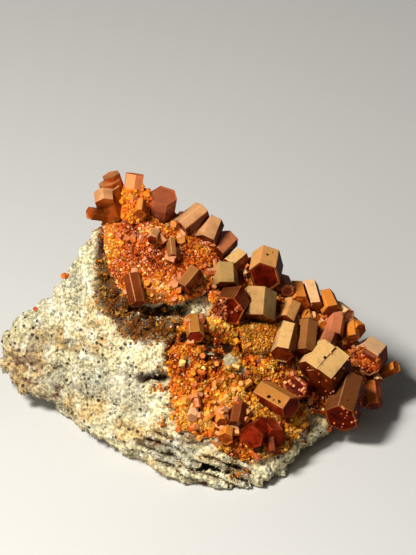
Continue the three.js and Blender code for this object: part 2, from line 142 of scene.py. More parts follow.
class DruseSettings(bpy.types.PropertyGroup):
    """Sizes and colours of the fine crystals that cover the crusts."""

    spacing_mm: FloatProperty(
        name="Spacing", description="Distance between fine crystals, in mm", default=0.36, min=0.2
    )
    width_mm: FloatProperty(
        name="Width", description="Usual width of a fine crystal, in mm", default=0.4, min=0.1
    )
    seed: IntProperty(name="Seed", description="Start of the random draws", default=11, min=0)
    brown: colour_property("Brown", "Colour of the stained druse", "#3d1a06")
    red: colour_property("Deep red", "Colour of the densest druse", "#96340f")
    orange: colour_property("Orange", "Colour of the common druse", "#cf621c")
    amber: colour_property("Amber", "Colour of the druse rims", "#dc921e")
    # Top of the tone scale; fine crystals at full tone are painted glints.
    pale: colour_property("Pale", "Colour of the palest tiny crystals", "#f0c470")
    blush: colour_property("Blush", "Colour of the pinkish tiny crystals", "#e4a07c")
    crumb: colour_property("Crumb", "Colour of the druse on the crumbly rock", "#6e4c1c")
    bare: colour_property("Bare patches", "Colour of the rock that shows through", "#b5a67e")
    # Painted shade deep in the voids of the crust.
    void: colour_property("Hollows", "Colour deep in the hollows of the crust", "#1d0e05")


class CrystalSettings(bpy.types.PropertyGroup):
    """Sizes and colours of the large crystals."""

    edge_mm: FloatProperty(
        name="Edge wear", description="Width of the worn edges, in mm", default=0.11, min=0
    )
    step_mm: FloatProperty(
        name="Growth step", description="Height of the growth steps, in mm", default=0.12, min=0
    )
    # The coat colours: a satin coat on the faces that look up, with the overhead light's sheen
    # painted in.
    tan_bloom_and_sheen: colour_property("Tan bloom", "Bloom on the tan crystals", "#c98c4c")
    straw_bloom_and_sheen: colour_property("Straw bloom", "Bloom on the palest tan crystals", "#d2a464")
    dusty_bloom_and_sheen: colour_property("Dusty bloom", "Bloom on the ridge's dusty crystals", "#bd8858")
    pink_bloom_and_sheen: colour_property("Pink bloom", "Bloom on the pinkish crystals", "#b96c44")
    peach_bloom_and_sheen: colour_property("Peach bloom", "Bloom on the tall prism", "#db804c")
    pale_bloom_and_sheen: colour_property("Pale bloom", "Bloom on the palest crystals", "#e4b07c")
    orange_bloom_and_sheen: colour_property("Orange bloom", "Bloom on the orange crystals", "#cb782a")
    olive_bloom_and_sheen: colour_property("Dull bloom", "Bloom on the duller tan crystals", "#a07c48")
    amber_bloom_and_sheen: colour_property("Amber bloom", "Bloom on the pitted crystal", "#a0672a")
    chestnut_bloom_and_sheen: colour_property("Chestnut bloom", "Bloom on the chestnut crystals", "#8b572a")
    russet_bloom_and_sheen: colour_property("Russet bloom", "Bloom on the darkest small crystals", "#6c3010")
    brown_bloom_and_sheen: colour_property("Brown bloom", "Bloom on the brown giant", "#64381a")
    deep_body: colour_property("Deep body", "Body of the darkest red crystals", "#651406")
    brown_body: colour_property("Brown body", "Body of the tan and brown crystals", "#6b240a")
    red_body: colour_property("Red body", "Body of the bright red crystals", "#80200a")
    orange_body: colour_property("Orange body", "Body of the orange crystals", "#a94a12")
    rim: colour_property("Rim", "Light glowing through the thin edges", "#c8682a")
    etched: colour_property("Etched pits", "Colour inside the etched pits", "#2a0c05")


class StageSettings(bpy.types.PropertyGroup):
    """The floor, the lights and the camera."""

    floor: colour_property("Floor", "Colour of the floor", "#c4c1ba")
    fibre: colour_property("Floor fibre", "Colour of the fibre in the floor", "#b9b6af")
    air: colour_property("Air", "Colour of the light from all round", "#d6d6d6")
    air_strength: FloatProperty(
        name="Air strength", description="Strength of the light from all round", default=0.1, min=0
    )
    distance_mm: FloatProperty(
        name="Camera distance", description="From the specimen, in mm", default=900, min=100
    )
    frame_mm: FloatProperty(
        name="Frame height", description="Height of the view at the specimen, in mm",
        default=116.5, min=10,
    )
    key_watts: FloatProperty(
        name="Key light", description="Power of the overhead light, in watts", default=3.3, min=0
    )
    fill_watts: FloatProperty(
        name="Fill light", description="Power of the front light, in watts", default=0.6, min=0
    )


# ---- Meshes ----


def read_rows(items, field, width=3):
    """A field of every vertex, face or stored value, as rows of numbers."""
    flat = np.empty(len(items) * width, np.float32)
    items.foreach_get(field, flat)
    return flat.reshape(-1, width).astype(float)


def vertices_mm(mesh):
    """A mesh's vertices as an array in millimetres."""
    return read_rows(mesh.vertices, "co") / MM


def move_vertices(mesh, points_mm):
    """Puts a mesh's vertices at new places."""
    mesh.vertices.foreach_set("co", (points_mm * MM).astype(np.float32).ravel())
    mesh.update()


def paint(mesh, colours, domain="POINT", name="tint"):
    """Stores a linear colour for each vertex or face, for the material to read."""
    attribute = mesh.attributes.new(name, "FLOAT_COLOR", domain)
    rows = np.ones((len(colours), 4), np.float32)
    rows[:, :3] = np.clip(colours, 0, 1)
    attribute.data.foreach_set("color", rows.ravel())


def store(mesh, name, values, domain):
    """Stores a number for each vertex or face."""
    attribute = mesh.attributes.new(name, "FLOAT", domain)
    attribute.data.foreach_set("value", values.astype(np.float32))


def add_piece(name, mesh, materials, slot, *nodes):
    """Puts a finished mesh in the scene as a piece that rides on the specimen."""
    piece = bpy.data.objects.new(name, mesh)
    bpy.context.scene.collection.objects.link(piece)
    for material in materials:
        mesh.materials.append(material)
    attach(piece, BODY)
    if nodes:
        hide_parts(*nodes)
    return piece


def fine_mesh(node, voxel_mm):
    """A closed, evenly fine mesh of a CAD node."""
    rough = bpy.data.objects.new("rough", frame["nodes"][node].data.copy())
    bpy.context.scene.collection.objects.link(rough)
    remesh = rough.modifiers.new("remesh", "REMESH")
    remesh.mode = "VOXEL"
    remesh.voxel_size = voxel_mm * MM
    depsgraph = bpy.context.evaluated_depsgraph_get()
    mesh = bpy.data.meshes.new_from_object(rough.evaluated_get(depsgraph))
    bpy.data.objects.remove(rough)
    mesh.materials.clear()
    return mesh


def polygon_mesh(name, points_mm, sizes, corners):
    """A flat-faced mesh from its vertices, the corner count of each face and the corners."""
    mesh = bpy.data.meshes.new(name)
    mesh.vertices.add(len(points_mm))
    mesh.vertices.foreach_set("co", (points_mm * MM).astype(np.float32).ravel())
    mesh.loops.add(len(corners))
    mesh.loops.foreach_set("vertex_index", corners.astype(np.int32))
    mesh.polygons.add(len(sizes))
    starts = np.concatenate(([0], np.cumsum(sizes)[:-1])).astype(np.int32)
    mesh.polygons.foreach_set("loop_start", starts)
    mesh.update(calc_edges=True)
    mesh.polygons.foreach_set("use_smooth", np.zeros(len(sizes), bool))
    return mesh


def search_tree(meshes):
    """One search tree over the faces of several meshes."""
    corners, faces = [], []
    for mesh in meshes:
        start = len(corners)
        corners += [v.co.copy() for v in mesh.vertices]
        faces += [tuple(start + i for i in p.vertices) for p in mesh.polygons]
    return BVHTree.FromPolygons(corners, faces)


def solids_tree(nodes):
    """One search tree over several CAD nodes."""
    return search_tree([frame["nodes"][node].data for node in nodes])


def distances_mm(points_mm, tree, reach_mm):
    """Distance to the nearest face, less than nothing inside, and reach_mm beyond reach."""
    found = np.full(len(points_mm), float(reach_mm))
    for i, point in enumerate(points_mm):
        place = Vector(point * MM)
        hit, normal, _, distance = tree.find_nearest(place, reach_mm * MM)
        if hit is not None:
            inside = (place - hit).dot(normal) < 0
            found[i] = -distance / MM if inside else distance / MM
    return found


def kept(keep, *rows):
    """The kept entries of several arrays."""
    return [row[keep] for row in rows]


# ---- Noise ----
# A seed only has to differ from the others, so that no two patterns line up.


def lattice(cells, seed):
    """A repeatable random number from -1 to 1 for each whole-numbered cell."""
    x, y, z = cells.astype(np.int64).T
    h = (x * 374761393 + y * 668265263 + z * 2147483647 + seed * 974711) & 0xFFFFFFFF
    h = ((h ^ (h >> 13)) * 1274126177) & 0xFFFFFFFF
    h = ((h ^ (h >> 16)) * 2246822519) & 0xFFFFFFFF
    return ((h ^ (h >> 15)) & 0xFFFFFF) / float(0x7FFFFF) - 1.0


def noise(points, size_mm, seed, octaves=1):
    """Smooth noise from -1 to 1 with bumps about size_mm across and finer ones on them."""
    total, height, reach = np.zeros(len(points)), 1.0, 0.0
    for octave in range(octaves):
        scaled = points / (size_mm / 2**octave)
        base = np.floor(scaled)
        t = scaled - base
        t = t * t * (3 - 2 * t)
        for corner in range(8):
            step = np.array([corner & 1, corner >> 1 & 1, corner >> 2 & 1])
            weight = np.prod(np.where(step, t, 1 - t), axis=1)
            total += height * weight * lattice(base + step, seed + octave)
        reach += height
        height *= 0.55
    return total / reach


def chips(points, size_mm, seed):
    """Heights of a surface broken into flat, differently tilted chips, from about -1 to 1."""
    scaled = points / size_mm
    base = np.floor(scaled)
    nearest = np.full(len(points), np.inf)
    offset, owner = np.zeros_like(scaled), base.copy()
    for step in np.ndindex(3, 3, 3):
        cell = base + np.array(step) - 1
        heart = cell + 0.5 + 0.5 * np.stack([lattice(cell, seed + k) for k in range(3)], axis=1)
        away = scaled - heart
        square = (away**2).sum(axis=1)
        closer = square < nearest
        nearest[closer], offset[closer], owner[closer] = square[closer], away[closer], cell[closer]
    tilt = np.stack([lattice(owner, seed + 3 + k) for k in range(3)], axis=1)
    return (offset * tilt).sum(axis=1) + 0.4 * lattice(owner, seed + 6)


def ramp(values, low, high):
    """0 at low, 1 at high, smooth between."""
    t = np.clip((values - low) / (high - low), 0, 1)
    return t * t * (3 - 2 * t)


# ---- Places on the specimen ----
# A patch is (across, up, half width, half height) in mm on the leaning sight plane, measured
# from the middle of the base.

SPECKLED_TIP = [(-36.5, 11, 3.6, 5.0), (-31, 6, 3.0, 2.0)]
CRUMBLY_BROWN = [
    (-20, 35, 1.6, 4.0), (-18.5, 29, 3.4, 5.0), (-15.5, 23.5, 3.6, 3.6), (-9, 20, 7.0, 3.6),
    (-2, 17, 4.0, 4.0),
]
# Painted shadow below the lower lip, where fewer fine crystals lie.
SHADOWED_LIP = [(-0.6, -3.2, 4.2, 1.6), (-11, -4, 3.0, 1.4), (6.5, -9, 4.0, 1.2)]
# Hollows painted in shade.
SHADED_HOLLOWS = [(-8.5, 23, 6.0, 2.0), (-9.2, 9.2, 3.2, 1.7)]
OCHRE_STAINS = [
    (-29, 17, 6, 3), (-20, 20, 4, 6), (-24, 3, 5, 3), (-12, -2, 6, 2.5), (-36, 12, 5, 6),
]
CLAY_PATCHES = [
    (-33, 16, 3, 2), (-22, 8, 5, 4), (-15, 6, 4, 5), (-5, -6, 6, 3), (-14, 29, 2, 3),
]
CREAM_LOBE = [(-8.0, 14.5, 2.2, 2.6)]
BARE_ROCK = [
    (-1.6, -2.4, 2.4, 1.3), (2.6, -4.0, 2.0, 1.2), (6.0, 12.8, 1.8, 1.4), (2.0, 14.8, 1.6, 0.9),
    (8.5, 10.8, 1.0, 0.8), (-2.5, 12.5, 0.8, 1.4),
]
VOIDS = [
    (8.2, 16.6, 0.8, 2.2), (10.4, 14.3, 1.8, 0.7), (5.5, 15.3, 2.0, 1.2), (0.8, 17.2, 1.8, 1.2),
    (10.7, 7.4, 1.3, 1.1), (-3.5, 17.5, 2.2, 1.3),
]
SHADED = [
    (-11.5, 25.9, 4.5, 1.1), (4.0, 15.5, 5.5, 4.0), (8.5, 18.0, 3.0, 2.4), (8.0, 9.5, 4.0, 2.2),
    (4.0, -6.5, 4.0, 2.0),
]


def patch_weight(points, normals, patches, least=-0.1):
    """How strongly soft-edged patches cover the points that face the sight plane.

    A lower least also takes points that face away from it."""
    across, up = points[:, 0], points @ SIGHT_UP
    wobble = 0.45 * noise(points, 2.6, 71, 3)
    weight = np.zeros(len(points))
    for middle, height, wide, high in patches:
        distance = np.hypot((across - middle) / wide, (up - height) / high)
        weight = np.maximum(weight, 1 - ramp(distance + wobble, 0.6, 1.3))
    return weight * ramp(normals @ SIGHT_OUT, least, least + 0.4)


# ---- Materials ----


def add_node(tree, kind, inputs=None, out=0, **settings):
    """Adds a node with its settings, fills its inputs, and gives back one of its outputs.

    An input is found by name or number, and takes a value or another node's output.
    """
    node = tree.nodes.new(kind)
    for name, value in settings.items():
        setattr(node, name, value)
    for name, value in (inputs or {}).items():
        if isinstance(value, bpy.types.NodeSocket):
            tree.links.new(value, node.inputs[name])
        else:
            node.inputs[name].default_value = value
    return node.outputs[out] if len(node.outputs) else None


def new_material(name):
    """A material, its node tree, and in it the place on the object."""
    material = bpy.data.materials.new(name)
    material.use_nodes = True
    material.node_tree.nodes.clear()
    place = add_node(material.node_tree, COORDS, out="Object")
    return material, material.node_tree, place


NOISE = "ShaderNodeTexNoise"
VORONOI = "ShaderNodeTexVoronoi"
RANGE = "ShaderNodeMapRange"
MIX = "ShaderNodeMix"
MATH = "ShaderNodeMath"
COORDS = "ShaderNodeTexCoord"
ATTRIBUTE = "ShaderNodeAttribute"
BUMP = "ShaderNodeBump"
PRINCIPLED = "ShaderNodeBsdfPrincipled"
OUTPUT = "ShaderNodeOutputMaterial"
MULTIPLY = {"data_type": "RGBA", "blend_type": "MULTIPLY"}
BLEND = {"data_type": "RGBA"}
# Light spreads a millimetre or so inside a crystal, red the furthest.
GLOW = {
    "Subsurface Weight": 0.3,
    "Subsurface Radius": (1.0, 0.25, 0.06),
    "Subsurface Scale": 1.2 * MM,
}
# Its resinous lustre is as warm as its body.
LUSTRE = {"Specular Tint": linear("#ffa878")}


def clouded(tree, place, colour, size_mm, detail, span):
    """A colour, darker and lighter in soft clouds about size_mm across, and the clouds."""
    scale = 1 / (size_mm * MM)
    clouds = add_node(tree, NOISE, {"Vector": place, "Scale": scale, "Detail": detail})
    shade = add_node(tree, RANGE, {0: clouds, **dict(enumerate(span, 1))})
    return add_node(tree, MIX, {0: 1.0, 6: colour, 7: shade}, 2, **MULTIPLY), clouds


def finished(material, inputs):
    """Closes a material with one principled shader."""
    tree = material.node_tree
    add_node(tree, OUTPUT, {"Surface": add_node(tree, PRINCIPLED, inputs)})
    return material


def broken_rock(pit):
    """Fine-grained rock, freshly broken: dull, sandy and pale, with dark dots of painted shade
    where leached pits are.  The stains and most painted shade are painted on the mesh."""
    material, tree, place = new_material("matrix_rock_broken")
    tint = add_node(tree, ATTRIBUTE, attribute_name="tint")
    colour, _ = clouded(tree, place, tint, 0.65, 4.0, (0.36, 0.62, 0.42, 1.16))
    # Dark dots, in patches, painted as the shade inside leached pits.
    pits = add_node(tree, VORONOI, {"Vector": place, "Scale": 1 / (1.6 * MM)})
    dots = add_node(tree, RANGE, {0: pits, 1: 0.3, 2: 0.21, 3: 0.0, 4: 1.0})
    patchy = add_node(tree, NOISE, {"Vector": place, "Scale": 1 / (5 * MM), "Detail": 2.0})
    where = add_node(tree, RANGE, {0: patchy, 1: 0.42, 2: 0.55, 3: 0.0, 4: 0.92})
    dots = add_node(tree, MATH, {0: dots, 1: where}, operation="MULTIPLY")
    colour = add_node(tree, MIX, {0: dots, 6: colour, 7: pit}, 2, **BLEND)
    relief = add_node(tree, NOISE, {"Vector": place, "Scale": 1 / (0.4 * MM), "Detail": 3.0})
    normal = add_node(tree, BUMP, {"Height": relief, "Distance": 0.26 * MM, "Strength": 1.0})
    inputs = {"Base Color": colour, "Roughness": 0.9, "IOR": 1.5, "Normal": normal}
    return finished(material, inputs)


def sugary_druse(name, roughness):
    """Druse of sub-millimetre vanadinite: each tiny prism is painted with its own tone, and
    its flat faces catch the light one by one."""
    material, tree, place = new_material(name)
    tint = add_node(tree, ATTRIBUTE, attribute_name="tint")
    colour, _ = clouded(tree, place, tint, 0.6, 3.0, (0.35, 0.65, 0.75, 1.15))
    return finished(
        material, {"Base Color": colour, "Roughness": roughness, "IOR": 1.5, **LUSTRE}
    )


def crust_bed():
    """The sheet under the druse: massive vanadinite and iron oxide, granular and waxy."""
    material, tree, place = new_material("vanadinite_crust_massive")
    tint = add_node(tree, ATTRIBUTE, attribute_name="tint")
    colour, grain = clouded(tree, place, tint, 0.7, 5.0, (0.35, 0.65, 0.35, 1.1))
    normal = add_node(tree, BUMP, {"Height": grain, "Distance": 0.25 * MM, "Strength": 0.9})
    inputs = {"Base Color": colour, "Roughness": 0.85, "IOR": 1.3, "Normal": normal, **LUSTRE}
    return finished(material, inputs)


def face_values(tree):
    """Per face: the share of satin coat and painted sheen, its colour, and the body's colour."""
    amount = add_node(tree, ATTRIBUTE, out="Fac", attribute_name="bloom")
    colours = [add_node(tree, ATTRIBUTE, attribute_name=name) for name in ("skin", "body")]
    return amount, *colours


def toward_foot(tree, lowest):
    """From lowest at the foot of a crystal to 1 from its middle up."""
    height = add_node(tree, COORDS, out="Generated")
    height = add_node(tree, "ShaderNodeSeparateXYZ", {0: height}, 2)
    return add_node(tree, RANGE, {0: height, 1: 0.05, 2: 0.75, 3: lowest, 4: 1.0})


def prism_face():
    """Vanadinite prism face: resinous, with a satin coat and painted sheen on the faces that look
    up, and painted shade towards the foot.  The mesh stores each face's colours and share of both."""
    material, tree, place = new_material("vanadinite_prism_satin")
    amount, skin, body = face_values(tree)
    under, blotch = clouded(tree, place, body, 2.4, 5.0, (0.4, 0.62, 0.45, 1.0))
    fine = add_node(tree, NOISE, {"Vector": place, "Scale": 1 / (0.6 * MM), "Detail": 4.0})
    uneven = add_node(tree, RANGE, {0: blotch, 1: 0.3, 2: 0.7, 3: -0.32, 4: 0.22})
    cover = add_node(tree, MATH, {0: amount, 1: uneven}, operation="ADD")
    # Less coat and painted sheen towards the foot, where shade falls.
    foot = toward_foot(tree, 0.3)
    cover = add_node(tree, MATH, {0: cover, 1: foot}, operation="MULTIPLY")
    cover = add_node(tree, RANGE, {0: cover, 1: 0.1, 2: 0.85, 3: 0.0, 4: 1.0})
    worn = add_node(tree, RANGE, {0: fine, 1: 0.5, 2: 0.75, 3: 0.0, 4: 0.3})
    worn = add_node(tree, MIX, {0: worn, 6: skin, 7: body}, 2, **BLEND)
    colour = add_node(tree, MIX, {0: cover, 6: under, 7: worn}, 2, **BLEND)
    # Painted shade: darker towards the crystal's foot.
    foot = toward_foot(tree, 0.45)
    colour = add_node(tree, MIX, {0: 1.0, 6: colour, 7: foot}, 2, **MULTIPLY)
    gloss = add_node(tree, RANGE, {0: cover, 1: 0.0, 2: 1.0, 3: 0.2, 4: 0.38})
    normal = add_node(tree, BUMP, {"Height": blotch, "Distance": 0.22 * MM, "Strength": 0.7})
    inputs = {"Base Color": colour, "Roughness": gloss, "IOR": 1.4, "Normal": normal}
    return finished(material, {**inputs, **GLOW, **LUSTRE})


def basal_face():
    """Vanadinite end face: glassy, the body colour showing deep, clouded where etched."""
    material, tree, place = new_material("vanadinite_end_glassy")
    amount, skin, body = face_values(tree)
    colour, cloud = clouded(tree, place, body, 1.6, 4.0, (0.38, 0.65, 0.35, 1.0))
    # End faces that look up are painted partly in the coat colour: satin coat and painted sheen.
    light = add_node(tree, RANGE, {0: amount, 1: 0.2, 2: 1.0, 3: 0.0, 4: 0.38})
    colour = add_node(tree, MIX, {0: light, 6: colour, 7: skin}, 2, **BLEND)
    normal = add_node(tree, BUMP, {"Height": cloud, "Distance": 0.14 * MM, "Strength": 0.8})
    inputs = {"Base Color": colour, "Roughness": 0.22, "IOR": 1.25, "Normal": normal}
    return finished(material, {**inputs, **GLOW, **LUSTRE})


def studio_floor(colour, fibre_colour):
    """Matt paper: pale and even, with a faint fibre."""
    material, tree, place = new_material("paper_matt_pale")
    fibre = add_node(tree, NOISE, {"Vector": place, "Scale": 1 / (3 * MM), "Detail": 2.0})
    share = add_node(tree, RANGE, {0: fibre, 1: 0.3, 2: 0.7, 3: 0.0, 4: 0.05})
    shade = add_node(tree, MIX, {0: share, 6: colour, 7: fibre_colour}, 2, **BLEND)
    return finished(material, {"Base Color": shade, "Roughness": 0.9})


# ---- The rock ----

FURROW_WAY = 0.8 * np.array([1, 0, 0]) + 0.6 * SIGHT_UP
LAYER_MM = 2.1  # thickness of the beds
CRUST_REACH_MM = 5.0  # how far off the crusts are looked for
GRAIN_SPACING_MM = 0.72
GRAIN_SEED = 21


def bedding(points, normals):
    """Split layers along the lower front lip: their heights in mm, and where they crack."""
    slope = points @ SIGHT_UP + 0.42 * (points[:, 0] + 2)
    along = slope + 9.5 + 0.9 * noise(points, 7.0, 31, 2)
    layer = along / LAYER_MM - np.floor(along / LAYER_MM)
    near_lip = 1 - ramp(np.abs(along - 1.5), 3.0, 6.0)
    zone = ramp(points[:, 0], -16, -6) * ramp(normals @ SIGHT_OUT, -0.4, 0.1)
    crack = ramp(np.abs(layer - 0.18), 0.2, 0.08) * ramp(noise(points, 4.0, 33), -0.35, 0.0)
    return (1.0 * (layer - 0.5) - 1.5 * crack) * near_lip * zone, crack * near_lip * zone


def furrows(points):
    """Long ridges and furrows that cross the broken face, from about -1 to 1."""
    along = points @ FURROW_WAY
    squeezed = points - 0.72 * along[:, None] * FURROW_WAY
    return 1 - 2 * np.abs(noise(squeezed, 3.2, 43, 3))


def rock_stains(points, normals, moved, relief, settings):
    """The rock's colour at each point: cream, stained by iron and clay, with painted shade where
    low, in hollows and cracks, underneath, below the lip and towards the left tip.
    """
    brown, hollow, crack, grit, ridges, near = relief
    # Painted shade in the low places of the relief.
    low_rock_shade = ramp(0.5 * ridges + grit, 0.35, -0.7)
    # Painted shade low down by the floor, on faces turned from the front.
    under = ramp(moved[:, 2] + 1.5 * noise(points, 4.0, 41, 2), 5.0, 2.5)
    under *= ramp(normals @ SIGHT_OUT, 0.3, -0.2)
    clay = patch_weight(points, normals, CLAY_PATCHES)
    clay = np.clip(clay + ramp(noise(points, 5.0, 51, 3), 0.25, 0.6), 0, 1)
    ochre = patch_weight(points, normals, OCHRE_STAINS) + near
    ochre = np.clip(ochre + ramp(noise(points, 4.0, 57, 3), 0.25, 0.6), 0, 1)
    tint = mixed(settings.cream, settings.pale, ramp(noise(points, 1.6, 61, 3), -0.1, 0.5))
    tint = mixed(tint, settings.grey, 0.6 * clay)
    tint = mixed(tint, settings.ochre, 0.75 * ochre * ramp(noise(points, 1.8, 63, 3), -0.6, 0.3))
    speckle = patch_weight(points, normals, SPECKLED_TIP)
    speckle *= ramp(noise(points, 0.9, 67, 2), -0.1, 0.25)
    tint = mixed(tint, settings.pink_brown, 0.8 * speckle)
    rust = 1.2 * brown * (0.75 + 0.25 * ramp(grit, 0.5, -0.4))
    # Painted shadow below the lower lip.
    lip = patch_weight(points, normals, SHADOWED_LIP) * ramp(grit, 0.3, -0.1)
    # Brown for the iron stain, and painted shade in low places, hollows, cracks, underneath and
    # below the lip.
    dark = 0.25 * low_rock_shade + rust + 0.95 * hollow + 0.55 * under + 0.9 * crack + 0.8 * lip
    tint = mixed(tint, settings.brown, np.clip(dark, 0, 1))
    # Painted shade: the light falls off towards the left tip.
    left = ramp(points[:, 0] + 4 * noise(points, 6.0, 69, 2), -14, -30)
    patchy = ramp(noise(points, 1.5, 65, 2), -0.3, 0.3)
    # Patches of the brown stain are darker; the hollows get more painted shade, in patches and all
    # over.
    shade = (1 - 0.25 * left) * (1 - 0.35 * np.clip(brown + hollow, 0, 1) * patchy)
    return tint * (shade * (1 - 0.55 * np.clip(hollow, 0, 1)))[:, None]


def rock_surface(settings):
    """The rock's fine mesh: chipped, gritty, pitted and layered, and painted with stains."""
    mesh = fine_mesh(ROCK, settings.voxel_mm)
    points, normals = vertices_mm(mesh), read_rows(mesh.vertex_normals, "vector")
    brown = patch_weight(points, normals, CRUMBLY_BROWN)
    hollow = patch_weight(points, normals, SHADED_HOLLOWS)
    ridges = 1 - 2 * np.abs(noise(points, 2.2, 9, 3))
    grit = noise(points, 0.85, 17, 2)
    height = settings.chip_mm * (chips(points, 6.5, 3) + 0.7 * chips(points, 2.6, 5))
    height += 0.9 * noise(points, 9.0, 8) + 0.5 * noise(points, 3.6, 7, 2) + 0.8 * furrows(points)
    height += 0.25 * (ridges - 0.5) * (1 + 4.5 * brown) - 0.3 * brown
    height += settings.grit_mm * grit * (1 + 1.2 * brown)
    layers, crack = bedding(points, normals)
    height += layers
    height += 2.0 * patch_weight(points, normals, CREAM_LOBE) + 0.5 * hollow * ridges
    height *= ramp(points[:, 2], 0.0, 1.4)
    crusts = solids_tree(CRUSTS)
    covered = distances_mm(points, crusts, CRUST_REACH_MM) < 0.6
    height[covered] = np.minimum(height[covered], 0)
    moved = points + normals * height[:, None]
    moved[:, 2] = np.maximum(moved[:, 2], 0)
    move_vertices(mesh, moved)
    near = 1 - ramp(distances_mm(moved, crusts, CRUST_REACH_MM), 0.2, 3.5)
    relief = brown, hollow, crack, grit, ridges, near
    paint(mesh, rock_stains(points, normals, moved, relief, settings))
    mesh.shade_smooth()
    return mesh


def rock_grains(rock, settings):
    """Loose grains on the bare rock, each as light or dark as the rock round it."""
    rng = np.random.default_rng(GRAIN_SEED)
    points, normals, vertex = sampled(rock, GRAIN_SPACING_MM, rng)
    solids = solids_tree(CRYSTALS + CRUSTS)
    keep = (points[:, 2] > 0.6) & (distances_mm(points, solids, 1) > 0.15)
    keep &= noise(points, 3.0, 91, 2) > -0.1
    points, normals, vertex = kept(keep, points, normals, vertex)
    widths = settings.grain_mm * rng.lognormal(0, 0.35, len(points))
    frames = leaning_frames(normals, 0.5, rng)
    grains = lumps_mesh("rock_grains", points + 0.05 * normals, frames, widths, rng)
    tint = read_rows(rock.attributes["tint"].data, "color", 4)[vertex, :3]
    tint *= rng.uniform(0.75, 1.25, (len(points), 1))
    paint(grains, np.repeat(tint, len(EIGHT_SIDED[0]), axis=0))
    return grains


# ---- Crusts and druse ----

# Tones run 0 brown, 0.25 deep red, 0.5 orange, 0.75 amber, 1 pale.
CRUST_TONE = {
    "crust_upper_plate": 0.5,
    "crust_middle_plate": 0.6,
    "crust_lower_face": 0.6,
    "crust_ridge": 0.45,
    "crust_back": 0.15,
}
# Where the tone differs: the tone and its patches.
TONE_ZONES = [
    (0.32, [(-8.4, 35.5, 6.0, 3.5), (-2.0, 33.0, 3.5, 3.0), (-14.0, 41.0, 2.5, 3.0)]),
    (0.7, [(-18.5, 39.0, 1.8, 6.0), (-9.0, 28.0, 9.0, 2.0), (-1.0, 25.0, 4.0, 3.0)]),
    (0.7, [
        (-0.5, 3.0, 5.0, 4.5), (9.0, 6.5, 4.5, 3.0), (13.0, 24.5, 2.5, 3.0),
        (31.5, 6.0, 2.5, 4.0), (33, 11, 3, 4),
    ]),
    (0.36, [(3.5, 16.0, 4.0, 2.5), (-4.5, 10.0, 1.8, 6.0), (10.0, 9.0, 2.0, 2.5)]),
    # Brown; at the lower lip it also paints the shadow beneath the druse.
    (0.08, [
        (5.5, -7.0, 3.5, 2.0), (-1.4, -2.4, 3.2, 1.2), (-6.5, 22.0, 6.0, 1.5),
        (0.5, 9.5, 1.2, 1.6), (2.5, 13.5, 1.6, 1.0),
    ]),
    (0.56, [(12.4, 17.4, 4.4, 3.2)]),
]
# How rough a crust is, how far it stands up, how strongly its hollows are painted in shade
# and its heights in light, how coarse its fine crystals are and how many of them are pinkish,
# where that is not the usual.
RUGGED = {"crust_lower_face": 2.4, "crust_middle_plate": 0.3, "crust_back": 3.0}
RAISED_MM = {"crust_middle_plate": 0.7}
RELIEF_SHADING = {"crust_lower_face": 0.5}
COARSE = {"crust_back": 1.9, "crust_upper_plate": 0.88, "crust_middle_plate": 0.7}
BLUSH = {"crust_upper_plate": 0.16, "crust_ridge": 0.1}
CRUST_VOXEL_MM = 0.46
SEEDS_PER_CRUST = 17


def tones(points, normals, base):
    """The tone of the crust at each point."""
    tone = base + 0.2 * noise(points, 3.0, 81, 3)
    for value, patches in TONE_ZONES:
        weight = 0.85 * patch_weight(points, normals, patches)
        tone = tone * (1 - weight) + value * weight
    return tone


def tone_colours(tone, settings):
    """Colours along the scale brown, deep red, orange, amber, pale."""
    scale = [settings.brown, settings.red, settings.orange, settings.amber, settings.pale]
    steps = np.linspace(0, 1, len(scale))
    channels = [np.interp(tone, steps, [colour[k] for colour in scale]) for k in range(3)]
    return np.stack(channels, axis=1)


def crust_surface(node, settings, seed):
    """A crust's fine mesh with a lumpy, granular top and a ragged rim."""
    mesh = fine_mesh(node, CRUST_VOXEL_MM)
    points, normals = vertices_mm(mesh), read_rows(mesh.vertex_normals, "vector")
    rugged = RUGGED.get(node, 1.0)
    lumps = 1 - 2 * np.abs(noise(points, 3.0, seed + 2, 2))
    height = 0.45 * rugged * (noise(points, 3.4, seed, 3) - 0.5 * lumps + 0.3)
    height += 0.25 * noise(points, 0.9, seed + 5, 2) + 0.2 * rugged * chips(points, 1.8, seed + 9)
    bare, void = patch_weight(points, normals, BARE_ROCK), patch_weight(points, normals, VOIDS)
    height -= (0.9 - 0.5 * furrows(1.6 * points)) * bare + 1.4 * void - RAISED_MM.get(node, 0)
    height *= ramp(points[:, 2], 0.0, 1.0)
    moved = points + normals * height[:, None]
    moved[:, 2] = np.maximum(moved[:, 2], 0)
    move_vertices(mesh, moved)
    tone = tones(points, normals, CRUST_TONE[node])
    # Painted shade in the hollows and painted light on the heights, by shifting the tone.
    tone += RELIEF_SHADING.get(node, 0.35) * np.clip(height, -1.2, 0.4)
    store(mesh, "tone", tone, "POINT")
    colours = mixed(tone_colours(tone - 0.2, settings), settings.bare, 0.95 * ramp(bare, 0.2, 0.5))
    # Deep in the voids the crust is painted in shade.
    paint(mesh, mixed(colours, settings.void, 0.9 * ramp(void, 0.3, 0.7)))
    mesh.shade_smooth()
    return mesh


